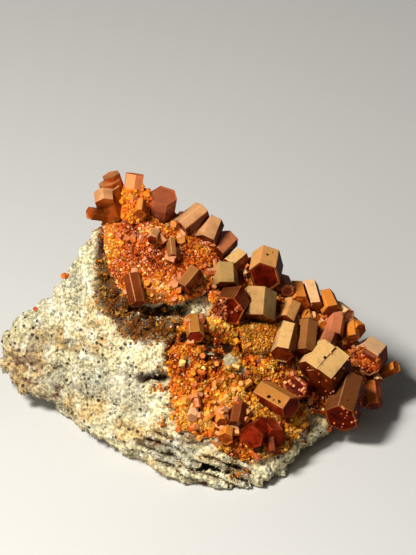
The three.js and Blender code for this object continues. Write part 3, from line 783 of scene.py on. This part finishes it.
def sampled(mesh, spacing_mm, rng):
    """Even random points on a mesh, their normals and a nearby vertex of each."""
    mesh.calc_loop_triangles()
    index = np.empty(len(mesh.loop_triangles) * 3, np.int32)
    mesh.loop_triangles.foreach_get("vertices", index)
    index = index.reshape(-1, 3)
    a, b, c = np.moveaxis(vertices_mm(mesh)[index], 1, 0)
    cross = np.cross(b - a, c - a)
    area = np.linalg.norm(cross, axis=1) / 2
    wanted = int(area.sum() / spacing_mm**2 * 2.2)
    pick = rng.choice(len(area), wanted, p=area / area.sum())
    u, v = rng.random(wanted), rng.random(wanted)
    flip = u + v > 1
    u[flip], v[flip] = 1 - u[flip], 1 - v[flip]
    points = a[pick] + u[:, None] * (b - a)[pick] + v[:, None] * (c - a)[pick]
    normals = cross[pick] / np.maximum(2 * area[pick], 1e-12)[:, None]
    cell = np.floor(points / (spacing_mm * 0.8)).astype(np.int64)
    keys = cell[:, 0] * 73856093 ^ cell[:, 1] * 19349663 ^ cell[:, 2] * 83492791
    keep = np.sort(np.unique(keys, return_index=True)[1])
    return points[keep], normals[keep], index[pick[keep], 0]


def leaning_frames(normals, spread, rng):
    """For each normal, random axes whose third leans from it by about spread."""
    axis = normals + rng.normal(0, spread, (len(normals), 3))
    axis /= np.linalg.norm(axis, axis=1)[:, None]
    aside = np.cross(axis, rng.normal(0, 1, (len(normals), 3)))
    aside /= np.linalg.norm(aside, axis=1)[:, None]
    return aside, np.cross(axis, aside), axis


PRISM_CORNERS = 12
PRISM_FACES = 8


def prisms_mesh(name, points, frames, widths, lengths):
    """One mesh of many six-sided prisms, each centred on its point."""
    aside, third, axis = (way[:, None] for way in frames)
    angle = (np.arange(6) * math.pi / 3)[None, :, None]
    ring = (np.cos(angle) * aside + np.sin(angle) * third) * (widths / 2)[:, None, None]
    half = axis * (lengths / 2)[:, None, None]
    ends = [points[:, None] + ring - half, points[:, None] + ring + half]
    sides = [[k, (k + 1) % 6, (k + 1) % 6 + 6, k + 6] for k in range(6)]
    one = np.concatenate([np.ravel(sides), [5, 4, 3, 2, 1, 0], [6, 7, 8, 9, 10, 11]])
    corners = (one[None] + PRISM_CORNERS * np.arange(len(points))[:, None]).ravel()
    sizes = np.tile([4] * 6 + [6] * 2, len(points))
    return polygon_mesh(name, np.concatenate(ends, axis=1).reshape(-1, 3), sizes, corners)


# Lumps: their corners, and their faces as corner numbers.
EIGHT_SIDED = (
    np.array([[1, 0, 0], [-1, 0, 0], [0, 1, 0], [0, -1, 0], [0, 0, 1], [0, 0, -1]], float),
    [[0, 2, 4], [2, 1, 4], [1, 3, 4], [3, 0, 4], [2, 0, 5], [1, 2, 5], [3, 1, 5], [0, 3, 5]],
)
FOUR_SIDED = (
    np.array([[1, 1, 1], [-1, -1, 1], [-1, 1, -1], [1, -1, -1]], float) * 0.75,
    [[0, 2, 1], [0, 1, 3], [0, 3, 2], [1, 2, 3]],
)


def lumps_mesh(name, points, frames, widths, rng, shape=EIGHT_SIDED):
    """One mesh of many small angular lumps of one shape, each jittered."""
    corners, faces = shape
    jitter = corners[None] * rng.uniform(0.6, 1.2, (len(points), len(corners), 1))
    jitter += rng.uniform(-0.25, 0.25, jitter.shape)
    offsets = np.einsum("nij,njk->nik", jitter, np.stack(frames, axis=1))
    offsets *= (widths / 2)[:, None, None]
    order = (np.ravel(faces)[None] + len(corners) * np.arange(len(points))[:, None]).ravel()
    vertices = (points[:, None] + offsets).reshape(-1, 3)
    return polygon_mesh(name, vertices, np.full(len(faces) * len(points), 3), order)


# Fine crystals: spacing and width against the settings.
DRUSE_KINDS = [("prisms", 1.6, 1.0), ("sugar", 0.82, 0.75)]
STRAY_SPACING_MM = 0.38
CLEAR_MM = 0.12  # how far off the large crystals the fine ones start
USUAL_PALEST = 0.85  # the palest tone, but for the painted glints
GLINT_SHARE = 0.03


def druse_mesh(kind, node, sizes, rock, crystals, settings, rng):
    """The fine crystals of one kind on one crust."""
    coarse = COARSE.get(node, 1.0)
    spacing_mm, width_mm = sizes
    bed = bpy.data.objects["bed_" + node].data
    points, normals, vertex = sampled(bed, spacing_mm * coarse, rng)
    keep = (points[:, 2] > 0.4) & (distances_mm(points, rock, 1) > 0.1)
    points, normals, vertex = kept(keep, points, normals, vertex)
    # None grow inside a large crystal, and few in the bare patches and hollows.
    keep = distances_mm(points, crystals, 1) > CLEAR_MM
    open_rock = patch_weight(points, normals, BARE_ROCK + VOIDS)
    keep &= rng.random(len(points)) > 1.1 * ramp(open_rock, 0.2, 0.5)
    points, normals, vertex = kept(keep, points, normals, vertex)
    number = len(points)
    widths = width_mm * coarse * rng.lognormal(0, 0.4, number)
    frames = leaning_frames(normals, 0.55, rng)
    tone = read_rows(bed.attributes["tone"].data, "value", 1)[vertex, 0]
    tone = np.minimum(tone + rng.normal(0, 0.12, number), USUAL_PALEST)
    # A few fine crystals are painted pale as glints.
    tone[rng.random(number) < GLINT_SHARE] = 1.0
    shade = rng.lognormal(-0.1, 0.25, number)
    shade *= 1 - 0.45 * patch_weight(points, normals, SHADED)
    blush = 0.65 * (rng.random(number) < BLUSH.get(node, 0.03))
    colours = mixed(tone_colours(tone, settings), settings.blush, blush) * shade[:, None]
    places = points + normals * 0.08
    if kind == "prisms":
        lengths = widths * rng.uniform(0.6, 1.6, number)
        mesh = prisms_mesh(kind, places, frames, widths, lengths)
    else:
        mesh = lumps_mesh(kind, places, frames, widths, rng, FOUR_SIDED)
    paint(mesh, np.repeat(colours, len(mesh.vertices) // number, axis=0))
    return mesh


def strays_mesh(ground, crystals, settings, rng):
    """Fine crystals strewn over the rock near the crusts and on its crumbly brown parts."""
    points, normals, _ = sampled(ground, STRAY_SPACING_MM, rng)
    reach = distances_mm(points, solids_tree(CRUSTS), 4) + 0.5 * noise(points, 2.0, 97, 2)
    brown = patch_weight(points, normals, CRUMBLY_BROWN[1:])
    chance = 0.7 * ramp(1.0 + 1.8 * noise(points, 2.2, 96, 2) - reach, 0.0, 1.2)
    chance *= 1 - 0.85 * patch_weight(points, normals, SHADOWED_LIP)
    chance += 0.9 * brown * ramp(noise(points, 1.6, 98, 2), -0.45, 0.0)
    keep = (rng.random(len(points)) < chance) & (points[:, 2] > 0.5)
    points, normals, brown = kept(keep, points, normals, brown)
    keep = distances_mm(points, crystals, 1) > CLEAR_MM
    points, normals, brown = kept(keep, points, normals, brown)
    widths = settings.width_mm * 1.15 * rng.lognormal(0, 0.4, len(points))
    frames = leaning_frames(normals, 0.6, rng)
    mesh = lumps_mesh("strays", points + 0.05 * normals, frames, widths, rng, FOUR_SIDED)
    tone = 0.55 + 0.5 * noise(points, 2.2, 99, 2) + rng.normal(0, 0.16, len(points))
    shade = rng.lognormal(-0.3 - 0.35 * brown, 0.35, len(points))
    colours = mixed(tone_colours(tone, settings), settings.crumb, 0.6 * brown)
    paint(mesh, np.repeat(colours * shade[:, None], len(FOUR_SIDED[0]), axis=0))
    return mesh


# Clusters of small crystals: the patch they stand in, how many, widths in mm, tone, and the
# share of satin coat and painted sheen.
CLUSTERS = [
    ((-13.7, 40.2, 5.3, 4.7), 26, (0.7, 1.5), 0.45, 0.8),
    ((-3.2, 33.9, 4.2, 6.8), 26, (0.8, 1.9), 0.45, 0.8),
    ((-13.7, 45.0, 3.2, 2.0), 9, (0.5, 0.9), 0.9, 0.3),
    ((-1.1, 2.4, 4.2, 4.7), 18, (0.8, 1.7), 0.66, 0.5),
    ((5.9, 4.5, 5.8, 4.7), 18, (0.7, 1.6), 0.66, 0.5),
    ((34.6, 12.4, 4.2, 8.4), 26, (0.8, 1.9), 0.5, 0.3),
    ((23.1, 21.9, 4.2, 5.3), 24, (1.1, 2.4), 0.66, 0.8),
    ((29.0, 19.0, 4.5, 4.5), 20, (1.0, 2.2), 0.6, 0.8),
    ((10.1, -4.4, 6.8, 2.1), 12, (0.8, 1.6), 0.2, 0.2),
    ((6.3, 23.4, 3.2, 3.7), 10, (0.6, 1.2), 0.6, 0.4),
    ((4.0, 12.0, 8.0, 6.0), 22, (0.6, 1.3), 0.6, 0.3),
    ((26.5, 2.0, 4.5, 4.0), 10, (0.7, 1.5), 0.3, 0.2),
]
# Those that peep over the rim from behind.
RIM_CLUSTERS = [
    ((-34.3, 23.4, 1.0, 1.0), 4, (0.7, 1.2), 0.4, 0.1),
    ((-27.7, 29.6, 1.0, 1.3), 4, (0.7, 1.2), 0.4, 0.1),
]
# Overgrown large crystals: how they are overgrown, spacing and width in mm, tone, and the
# share of satin coat and painted sheen.
COATS = [
    ("crystal_face_coated", "end", 0.5, 0.4, 0.2, 0.25),
    ("crystal_glassy_red", "end", 1.3, 0.6, 0.35, 0.6),
    ("crystal_ridge_tall_prism", "foot", 0.42, 0.5, 0.56, 0.0),
    ("crystal_right_end", "end", 0.42, 0.42, 0.42, 0.1),
    ("crystal_right_giant", "low", 2.2, 0.4, 0.35, 0.4),
    ("crystal_twin_left", "low", 2.6, 0.4, 0.35, 0.4),
]
# Small crystals that crowd the foot of each large one: how many, widths in mm, tone, and the
# share of satin coat and painted sheen.
FEET = (5, (0.7, 1.7), 0.42, 0.7)
CLUSTER_SPACING_MM = 0.7
FEET_SPACING_MM = 0.6


def cluster_points(patch, number, ground, least, rng):
    """Random places for a cluster on the ground's points that lie inside its patch."""
    points, normals = ground
    inside = np.flatnonzero(patch_weight(points, normals, [patch], least) > 0.5)
    chosen = rng.choice(inside, min(number, len(inside)), replace=False)
    return points[chosen], normals[chosen]


def coat_points(mesh, share, spacing_mm, rng):
    """Places on a large crystal that its coat of fine crystals covers."""
    points, normals, _ = sampled(mesh, spacing_mm, rng)
    if share == "end":
        tree = search_tree([mesh])
        faces = [tree.find_nearest(Vector(point * MM))[2] for point in points]
        covered = np.array([mesh.polygons[face].material_index == 1 for face in faces])
        covered &= (normals @ SIGHT_OUT > 0.1) & (noise(points, 2.2, 93, 2) > -0.12)
    elif share == "foot":
        low, high = points[:, 2].min(), points[:, 2].max()
        covered = (points[:, 2] - low) / (high - low) + 0.2 * noise(points, 1.5, 95) < 0.66
    else:
        covered = (normals[:, 2] < 0.3) & (normals @ SIGHT_OUT > -0.1)
    return points[covered], normals[covered]


def batch(keep, points, normals, widths, tone, bloom):
    """One batch of small crystals: each one kept, with the batch's tone and bloom."""
    number = len(points)
    return kept(keep, points, normals, widths, np.full(number, tone), np.full(number, bloom))


def small_batches(grounds, crystals, rng):
    """The small crystals of the clusters, the feet and the coats, batch by batch."""
    samples = [sampled(mesh, CLUSTER_SPACING_MM, rng)[:2] for mesh in grounds]
    ground = [np.concatenate(parts) for parts in zip(*samples)]
    for clusters, least in ((CLUSTERS, -0.1), (RIM_CLUSTERS, -1.4)):
        for patch, number, (smallest, largest), tone, bloom in clusters:
            points, normals = cluster_points(patch, number, ground, least, rng)
            widths = rng.uniform(smallest, largest, len(points))
            points = points + 0.25 * normals
            keep = distances_mm(points, crystals, 2) > 0.2
            yield batch(keep, points, normals, widths, tone, bloom)
    number, (smallest, largest), tone, bloom = FEET
    bases = search_tree(grounds)
    for node in CRYSTALS:
        grown = bpy.data.objects["grown_" + node].data
        points, normals, _ = sampled(grown, FEET_SPACING_MM, rng)
        low = np.flatnonzero(np.abs(distances_mm(points, bases, 3) - 0.7) < 0.6)
        chosen = rng.choice(low, min(number, len(low)), replace=False)
        widths = rng.uniform(smallest, largest, len(chosen))
        keep = np.ones(len(chosen), bool)
        yield batch(keep, points[chosen], normals[chosen], widths, tone, bloom)
    for node, share, spacing, width, tone, bloom in COATS:
        grown = bpy.data.objects["grown_" + node].data
        points, normals = coat_points(grown, share, spacing, rng)
        widths = width * rng.lognormal(0, 0.3, len(points))
        points = points - 0.05 * normals
        keep = distances_mm(points, crystals, 2) > -0.2
        yield batch(keep, points, normals, widths, tone, bloom)


# ---- Large crystals ----

STEP_SEED = 5
BLOOM_AND_SHEEN_SIDE = np.array([-0.12, -0.25, 0.96])  # faces that look this way are painted with the satin coat and the overhead light's sheen
# Looks: the colours of the satin coat with its painted sheen and of the body, and how far
# up a face must look to be painted with coat and sheen.
LOOKS = {
    "tan": ("tan_bloom_and_sheen", "brown_body", 0.4, 0.7),
    "straw": ("straw_bloom_and_sheen", "brown_body", 0.4, 0.7),
    "dusty": ("dusty_bloom_and_sheen", "brown_body", 0.4, 0.7),
    "olive": ("olive_bloom_and_sheen", "brown_body", -0.3, 0.3),
    "amber": ("amber_bloom_and_sheen", "red_body", 0.1, 0.5),
    "pink": ("pink_bloom_and_sheen", "brown_body", 0.2, 0.65),
    "rosy": ("pink_bloom_and_sheen", "red_body", -0.9, 0.9),
    "pale": ("pale_bloom_and_sheen", "orange_body", 0.0, 0.5),
    "peach": ("peach_bloom_and_sheen", "orange_body", 0.0, 0.5),
    "orange": ("orange_bloom_and_sheen", "orange_body", 0.2, 0.7),
    "stack": ("dusty_bloom_and_sheen", "orange_body", 0.45, 1.0),
    "ember": ("rim", "red_body", 0.2, 0.8),
    "flushed": ("pale_bloom_and_sheen", "red_body", 0.35, 0.75),
    "chestnut": ("chestnut_bloom_and_sheen", "brown_body", 0.3, 0.7),
    "russet": ("russet_bloom_and_sheen", "brown_body", 0.3, 0.8),
    "brown": ("brown_bloom_and_sheen", "deep_body", 0.3, 0.75),
    "dark": ("tan_bloom_and_sheen", "deep_body", 0.35, 0.65),
    "red": ("pink_bloom_and_sheen", "red_body", 0.8, 1.0),
    "deep": ("brown_bloom_and_sheen", "deep_body", 0.8, 1.0),
}
LOOK_OF_SLOT = {
    "crystal_tan": "tan", "crystal_pink": "pink", "crystal_orange": "orange", "crystal_red": "deep",
}
# The crystals whose look is not their slot's.
LOOK_OF = {
    "crystal_" + name: look
    for look, names in (
        ("stack", "ridge_stack_front"),
        ("peach", "ridge_tall_prism"),
        ("rosy", "ridge_large_pink ridge_shoulder face_reddish"),
        ("dusty", "ridge_quad ridge_wedge plate_red_left"),
        ("straw", "ridge_tan column_tan twin_left"),
        ("dark", "ridge_giant"),
        ("pale", "ridge_white ridge_pink_right right_small low_pink_left"),
        ("olive", "face_square face_barrel"),
        ("chestnut", "column_brown plate_tan plate_red_right"),
        ("amber", "pitted_block hollow_upright"),
        ("brown", "right_giant"),
        ("flushed", "right_end"),
        ("ember", "right_cube"),
        ("russet", "plate_standing low_brown"),
        ("red", "bottom_red"),
    )
    for name in names.split()
}


def is_end_face(face):
    """True for a prism's end: its neighbours all stand square to it."""
    beside = [other for edge in face.edges for other in edge.link_faces if other is not face]
    turns = [abs(face.normal.dot(other.normal)) for other in beside]
    return bool(turns) and max(turns) < 0.05


def clean_solid(node):
    """A CAD crystal as a bmesh with its flat faces whole."""
    solid = bmesh.new()
    solid.from_mesh(frame["nodes"][node].data)
    bmesh.ops.remove_doubles(solid, verts=solid.verts, dist=1e-6)
    bmesh.ops.dissolve_limit(
        solid, angle_limit=math.radians(0.6), verts=solid.verts, edges=solid.edges
    )
    solid.normal_update()
    return solid


STEPPED_MM2 = 4  # a face this large has growth steps
SHARP = 0.35  # radians between the faces of an edge that wears


def raise_step(solid, face, rim_mm, step_mm):
    """Leaves a rim round a face and raises or lowers what is inside it."""
    bmesh.ops.inset_region(
        solid, faces=[face], thickness=rim_mm * MM, depth=step_mm * MM, use_even_offset=True
    )


def grown_crystal(node, settings, rng):
    """A large crystal with growth steps on its faces and worn edges."""
    solid = clean_solid(node)
    ends = {face for face in solid.faces if is_end_face(face)}
    for face in solid.faces:
        face.material_index = 1 if face in ends else 0
    least = STEPPED_MM2 * MM * MM
    roomy = [f for f in solid.faces if f.calc_area() > least and 3 < len(f.verts) < 9]
    for face in roomy:
        rim = rng.uniform(0.25, 0.5)
        if face in ends:
            raise_step(solid, face, rim, -settings.step_mm * rng.uniform(0.6, 1.6))
            if face.calc_area() > 1.5 * least:
                rim = rng.uniform(0.4, 0.9)
                raise_step(solid, face, rim, settings.step_mm * rng.uniform(0.4, 1.2))
        elif rng.random() < 0.6:
            raise_step(solid, face, rim * 0.8, settings.step_mm * rng.uniform(-0.5, 0.5))
    edges = [edge for edge in solid.edges if len(edge.link_faces) == 2]
    sharp = [edge for edge in edges if edge.calc_face_angle(0) > SHARP]
    width = settings.edge_mm * MM
    rims = bmesh.ops.bevel(
        solid, geom=sharp, offset=width, segments=1, affect="EDGES", clamp_overlap=True
    )["faces"]
    solid.faces.index_update()
    rims = [face.index for face in rims]
    mesh = bpy.data.meshes.new(node + "_grown")
    solid.to_mesh(mesh)
    solid.free()
    mesh.polygons.foreach_set("use_smooth", np.zeros(len(mesh.polygons), bool))
    skin, body, low, high = LOOKS[LOOK_OF.get(node, LOOK_OF_SLOT[SLOT_OF[node]])]
    # Faces that look up towards the overhead light get the satin coat with its painted sheen.
    bloom = ramp(read_rows(mesh.polygons, "normal") @ BLOOM_AND_SHEEN_SIDE, low, high)
    under = np.tile(getattr(settings, body)[:3], (len(bloom), 1))
    # The bevelled rims are painted with the glow of light through thin edges and a pale painted
    # highlight, with less coat and sheen.
    under[rims] = mixed(under[rims], settings.rim, np.full(len(rims), 0.75))
    bloom[rims] *= 0.8
    store(mesh, "bloom", bloom, "FACE")
    over = np.tile(getattr(settings, skin)[:3], (len(bloom), 1))
    over[rims] = mixed(over[rims], settings.pale_bloom_and_sheen, np.full(len(rims), 0.28))
    paint(mesh, over, "FACE", "skin")
    paint(mesh, under, "FACE", "body")
    return mesh


# Etched pits: the crystal, where the pit shows (across, up) in mm, and its width in mm.
PITS = [
    ("crystal_ridge_giant", (14.0, 34.5), 1.0),
    ("crystal_ridge_giant", (15.2, 35.0), 0.6),
    ("crystal_twin_left", (25.9, 13.3), 1.0),
    ("crystal_pitted_block", (14.1, 5.4), 1.3),
    ("crystal_pitted_block", (16.3, 4.4), 1.4),
    ("crystal_pitted_block", (15.2, 4.7), 0.8),
    ("crystal_face_square", (9.6, 26.0), 0.5),
    ("crystal_right_giant", (33.8, 1.2), 0.7),
    ("crystal_right_giant", (30.5, 4.5), 0.5),
]


def carve_pits(piece, spots, colour, rng):
    """Cuts small irregular pits into a large crystal where it faces the sight plane."""
    tree = search_tree([piece.data])
    hits = []
    for (across, up), _ in spots:
        start = np.array([across, 0, 0]) + up * SIGHT_UP + 100 * SIGHT_OUT
        hit = tree.ray_cast(Vector(start * MM), Vector(-SIGHT_OUT))[0]
        if hit is not None:
            hits.append(np.array(hit) / MM)
    if not hits:
        return
    points = np.array(hits)
    frames = leaning_frames(np.tile(BLOOM_AND_SHEEN_SIDE, (len(points), 1)), 0.3, rng)
    widths = np.array([width for _, width in spots])[: len(points)]
    shape = lumps_mesh("cutter", points, frames, widths, rng)
    for name in ("skin", "body"):
        paint(shape, np.tile(colour[:3], (len(shape.polygons), 1)), "FACE", name)
    shape.attributes.new("bloom", "FLOAT", "FACE")
    cutter = bpy.data.objects.new("cutter", shape)
    bpy.context.scene.collection.objects.link(cutter)
    carve = piece.modifiers.new("carve", "BOOLEAN")
    carve.operation = "DIFFERENCE"
    carve.solver = "EXACT"
    carve.object = cutter
    depsgraph = bpy.context.evaluated_depsgraph_get()
    carved = bpy.data.meshes.new_from_object(piece.evaluated_get(depsgraph))
    piece.modifiers.clear()
    piece.data = carved
    bpy.data.objects.remove(cutter)


# ---- Operators ----


class SPECIMEN_OT_rock(bpy.types.Operator):
    """Builds the matrix rock and the grains that stand on it"""

    bl_idname = "specimen.rock"
    bl_label = "Rock"

    def execute(self, context):
        s = context.scene.specimen_rock
        material = broken_rock(s.pit)
        rock = rock_surface(s)
        add_piece("rock", rock, [material], "rock", ROCK)
        add_piece("rock_grains", rock_grains(rock, s), [material], "rock")
        return {"FINISHED"}


class SPECIMEN_OT_crusts(bpy.types.Operator):
    """Builds the sheets that carry the druse"""

    bl_idname = "specimen.crusts"
    bl_label = "Crusts"

    def execute(self, context):
        settings = context.scene.specimen_druse
        material = crust_bed()
        for number, node in enumerate(CRUSTS):
            mesh = crust_surface(node, settings, 100 + SEEDS_PER_CRUST * number)
            add_piece("bed_" + node, mesh, [material], SLOT_OF[node], node)
        return {"FINISHED"}


class SPECIMEN_OT_druse(bpy.types.Operator):
    """Grows the fine crystals and the sugar between them on the crusts"""

    bl_idname = "specimen.druse"
    bl_label = "Druse"

    def execute(self, context):
        s = context.scene.specimen_druse
        rng = np.random.default_rng(s.seed)
        glassy = sugary_druse("vanadinite_druse_glassy", 0.24)
        crystals = solids_tree(CRYSTALS)
        rock = bpy.data.objects["rock"].data
        rock_tree = search_tree([rock])
        for node in CRUSTS:
            for kind, spacing, width in DRUSE_KINDS:
                sizes = s.spacing_mm * spacing, s.width_mm * width
                mesh = druse_mesh(kind, node, sizes, rock_tree, crystals, s, rng)
                add_piece(kind + "_" + node, mesh, [glassy], SLOT_OF[node])
        add_piece("strays", strays_mesh(rock, crystals, s, rng), [glassy], "crust_orange")
        return {"FINISHED"}


class SPECIMEN_OT_crystals(bpy.types.Operator):
    """Builds the large crystals"""

    bl_idname = "specimen.crystals"
    bl_label = "Large crystals"

    def execute(self, context):
        s = context.scene.specimen_crystals
        rng = np.random.default_rng(STEP_SEED)
        finishes = [prism_face(), basal_face()]
        for node in CRYSTALS:
            mesh = grown_crystal(node, s, rng)
            slot = SLOT_OF[node]
            piece = add_piece("grown_" + node, mesh, finishes, slot, node)
            spots = [(place, width) for name, place, width in PITS if name == node]
            if spots:
                carve_pits(piece, spots, s.etched, rng)
        return {"FINISHED"}


class SPECIMEN_OT_small_crystals(bpy.types.Operator):
    """Grows the clusters of small crystals and the coats on the large ones"""

    bl_idname = "specimen.small_crystals"
    bl_label = "Small crystals"

    def execute(self, context):
        s = context.scene.specimen_druse
        crystal_colours = context.scene.specimen_crystals
        rng = np.random.default_rng(s.seed + 1)
        grounds = [bpy.data.objects["bed_" + node].data for node in CRUSTS]
        grounds.append(bpy.data.objects["rock"].data)
        batches = list(small_batches(grounds, solids_tree(CRYSTALS), rng))
        places, sides, widths, tone, share = (np.concatenate(rows) for rows in zip(*batches))
        tone += rng.normal(0, 0.12, len(tone))
        lengths = widths * rng.uniform(0.9, 2.1, len(places))
        frames = leaning_frames(sides, 0.6, rng)
        mesh = prisms_mesh("small_crystals", places, frames, widths, lengths)
        # Faces that look up are painted with the coat colour: satin coat and painted sheen.
        light = ramp(read_rows(mesh.polygons, "normal") @ BLOOM_AND_SHEEN_SIDE, 0.3, 0.75)
        light *= np.repeat(share, PRISM_FACES)
        body = np.repeat(tone_colours(tone, s), PRISM_FACES, axis=0)
        bloom = np.tile(crystal_colours.pink_bloom_and_sheen, (len(places), 1))
        bloom = mixed(bloom, crystal_colours.pale_bloom_and_sheen, rng.random(len(places)))
        paint(mesh, mixed(body, np.repeat(bloom, PRISM_FACES, axis=0), light), "FACE")
        glassy = sugary_druse("vanadinite_small_glassy", 0.25)
        add_piece("small_crystals", mesh, [glassy], "crystal_orange")
        return {"FINISHED"}


class SPECIMEN_OT_stage(bpy.types.Operator):
    """Sets the floor, the lights and the camera"""

    bl_idname = "specimen.stage"
    bl_label = "Stage"

    def execute(self, context):
        s = context.scene.specimen_stage
        scene = context.scene
        corners = FLOOR_HALF_MM * np.array([[-1, -1, 0], [1, -1, 0], [1, 1, 0], [-1, 1, 0]], float)
        sheet = polygon_mesh("floor", corners, np.array([4]), np.array([0, 1, 2, 3]))
        floor = bpy.data.objects.new("floor", sheet)
        sheet.materials.append(studio_floor(s.floor, s.fibre))
        scene.collection.objects.link(floor)
        floor.visible_glossy = False  # pale paper would veil the deep red faces
        add_light("key_overhead", (-200, -170, 380), 90, s.key_watts)
        add_light("fill_front", (-260, -330, 190), 300, s.fill_watts, False)
        world = bpy.data.worlds.new("studio_air")
        world.use_nodes = True
        air = world.node_tree.nodes["Background"]
        air.inputs["Color"].default_value = s.air
        air.inputs["Strength"].default_value = s.air_strength
        scene.world = world
        scene.view_settings.view_transform = "Standard"
        add_camera(scene, s)
        return {"FINISHED"}


def aimed(place_mm, target_mm):
    """A transform at place_mm whose -Z looks at target_mm."""
    place, target = Vector(place_mm) * MM, Vector(target_mm) * MM
    turn = (target - place).to_track_quat("-Z", "Y").to_matrix().to_4x4()
    return Matrix.Translation(place) @ turn


def add_light(name, place_mm, size_mm, watts, glare=True):
    """A square softbox aimed at the specimen, seen in glossy faces only if it has glare."""
    lamp = bpy.data.lights.new(name, "AREA")
    lamp.shape = "SQUARE"
    lamp.size = size_mm * MM
    lamp.energy = watts
    light = bpy.data.objects.new(name, lamp)
    light.matrix_world = aimed(place_mm, LAMP_TARGET_MM)
    light.visible_glossy = glare
    bpy.context.scene.collection.objects.link(light)


def add_camera(scene, settings):
    """A long lens looking squarely at the crystal face."""
    camera = bpy.data.cameras.new("camera")
    camera.sensor_width = 36
    camera.lens = camera.sensor_width * settings.distance_mm / settings.frame_mm
    camera.clip_end = 10
    holder = bpy.data.objects.new("camera", camera)
    scene.collection.objects.link(holder)
    middle = np.array(VIEW_MIDDLE_MM)
    holder.matrix_world = aimed(middle + SIGHT_OUT * settings.distance_mm, middle)
    scene.camera = holder


class SPECIMEN_PT_sidebar(bpy.types.Panel):
    """Lists the steps that build the specimen"""

    bl_idname = "SPECIMEN_PT_sidebar"
    bl_label = "Vanadinite specimen"
    bl_space_type = "VIEW_3D"
    bl_region_type = "UI"
    bl_category = "Specimen"

    def draw(self, context):
        for step in STEPS:
            self.layout.operator(step.bl_idname)


STEPS = [
    SPECIMEN_OT_rock,
    SPECIMEN_OT_crusts,
    SPECIMEN_OT_druse,
    SPECIMEN_OT_crystals,
    SPECIMEN_OT_small_crystals,
    SPECIMEN_OT_stage,
]
SETTINGS = {
    "specimen_rock": RockSettings,
    "specimen_druse": DruseSettings,
    "specimen_crystals": CrystalSettings,
    "specimen_stage": StageSettings,
}


def register():
    for group in SETTINGS.values():
        bpy.utils.register_class(group)
    for step in STEPS:
        bpy.utils.register_class(step)
    bpy.utils.register_class(SPECIMEN_PT_sidebar)
    for name, group in SETTINGS.items():
        setattr(bpy.types.Scene, name, PointerProperty(type=group))


def unregister():
    for name in SETTINGS:
        delattr(bpy.types.Scene, name)
    bpy.utils.unregister_class(SPECIMEN_PT_sidebar)
    for step in reversed(STEPS):
        bpy.utils.unregister_class(step)
    for group in SETTINGS.values():
        bpy.utils.unregister_class(group)


def main():
    register()
    bpy.ops.specimen.rock()
    bpy.ops.specimen.crusts()
    bpy.ops.specimen.druse()
    bpy.ops.specimen.crystals()
    bpy.ops.specimen.small_crystals()
    bpy.ops.specimen.stage()


if __name__ == "__main__":
    main()
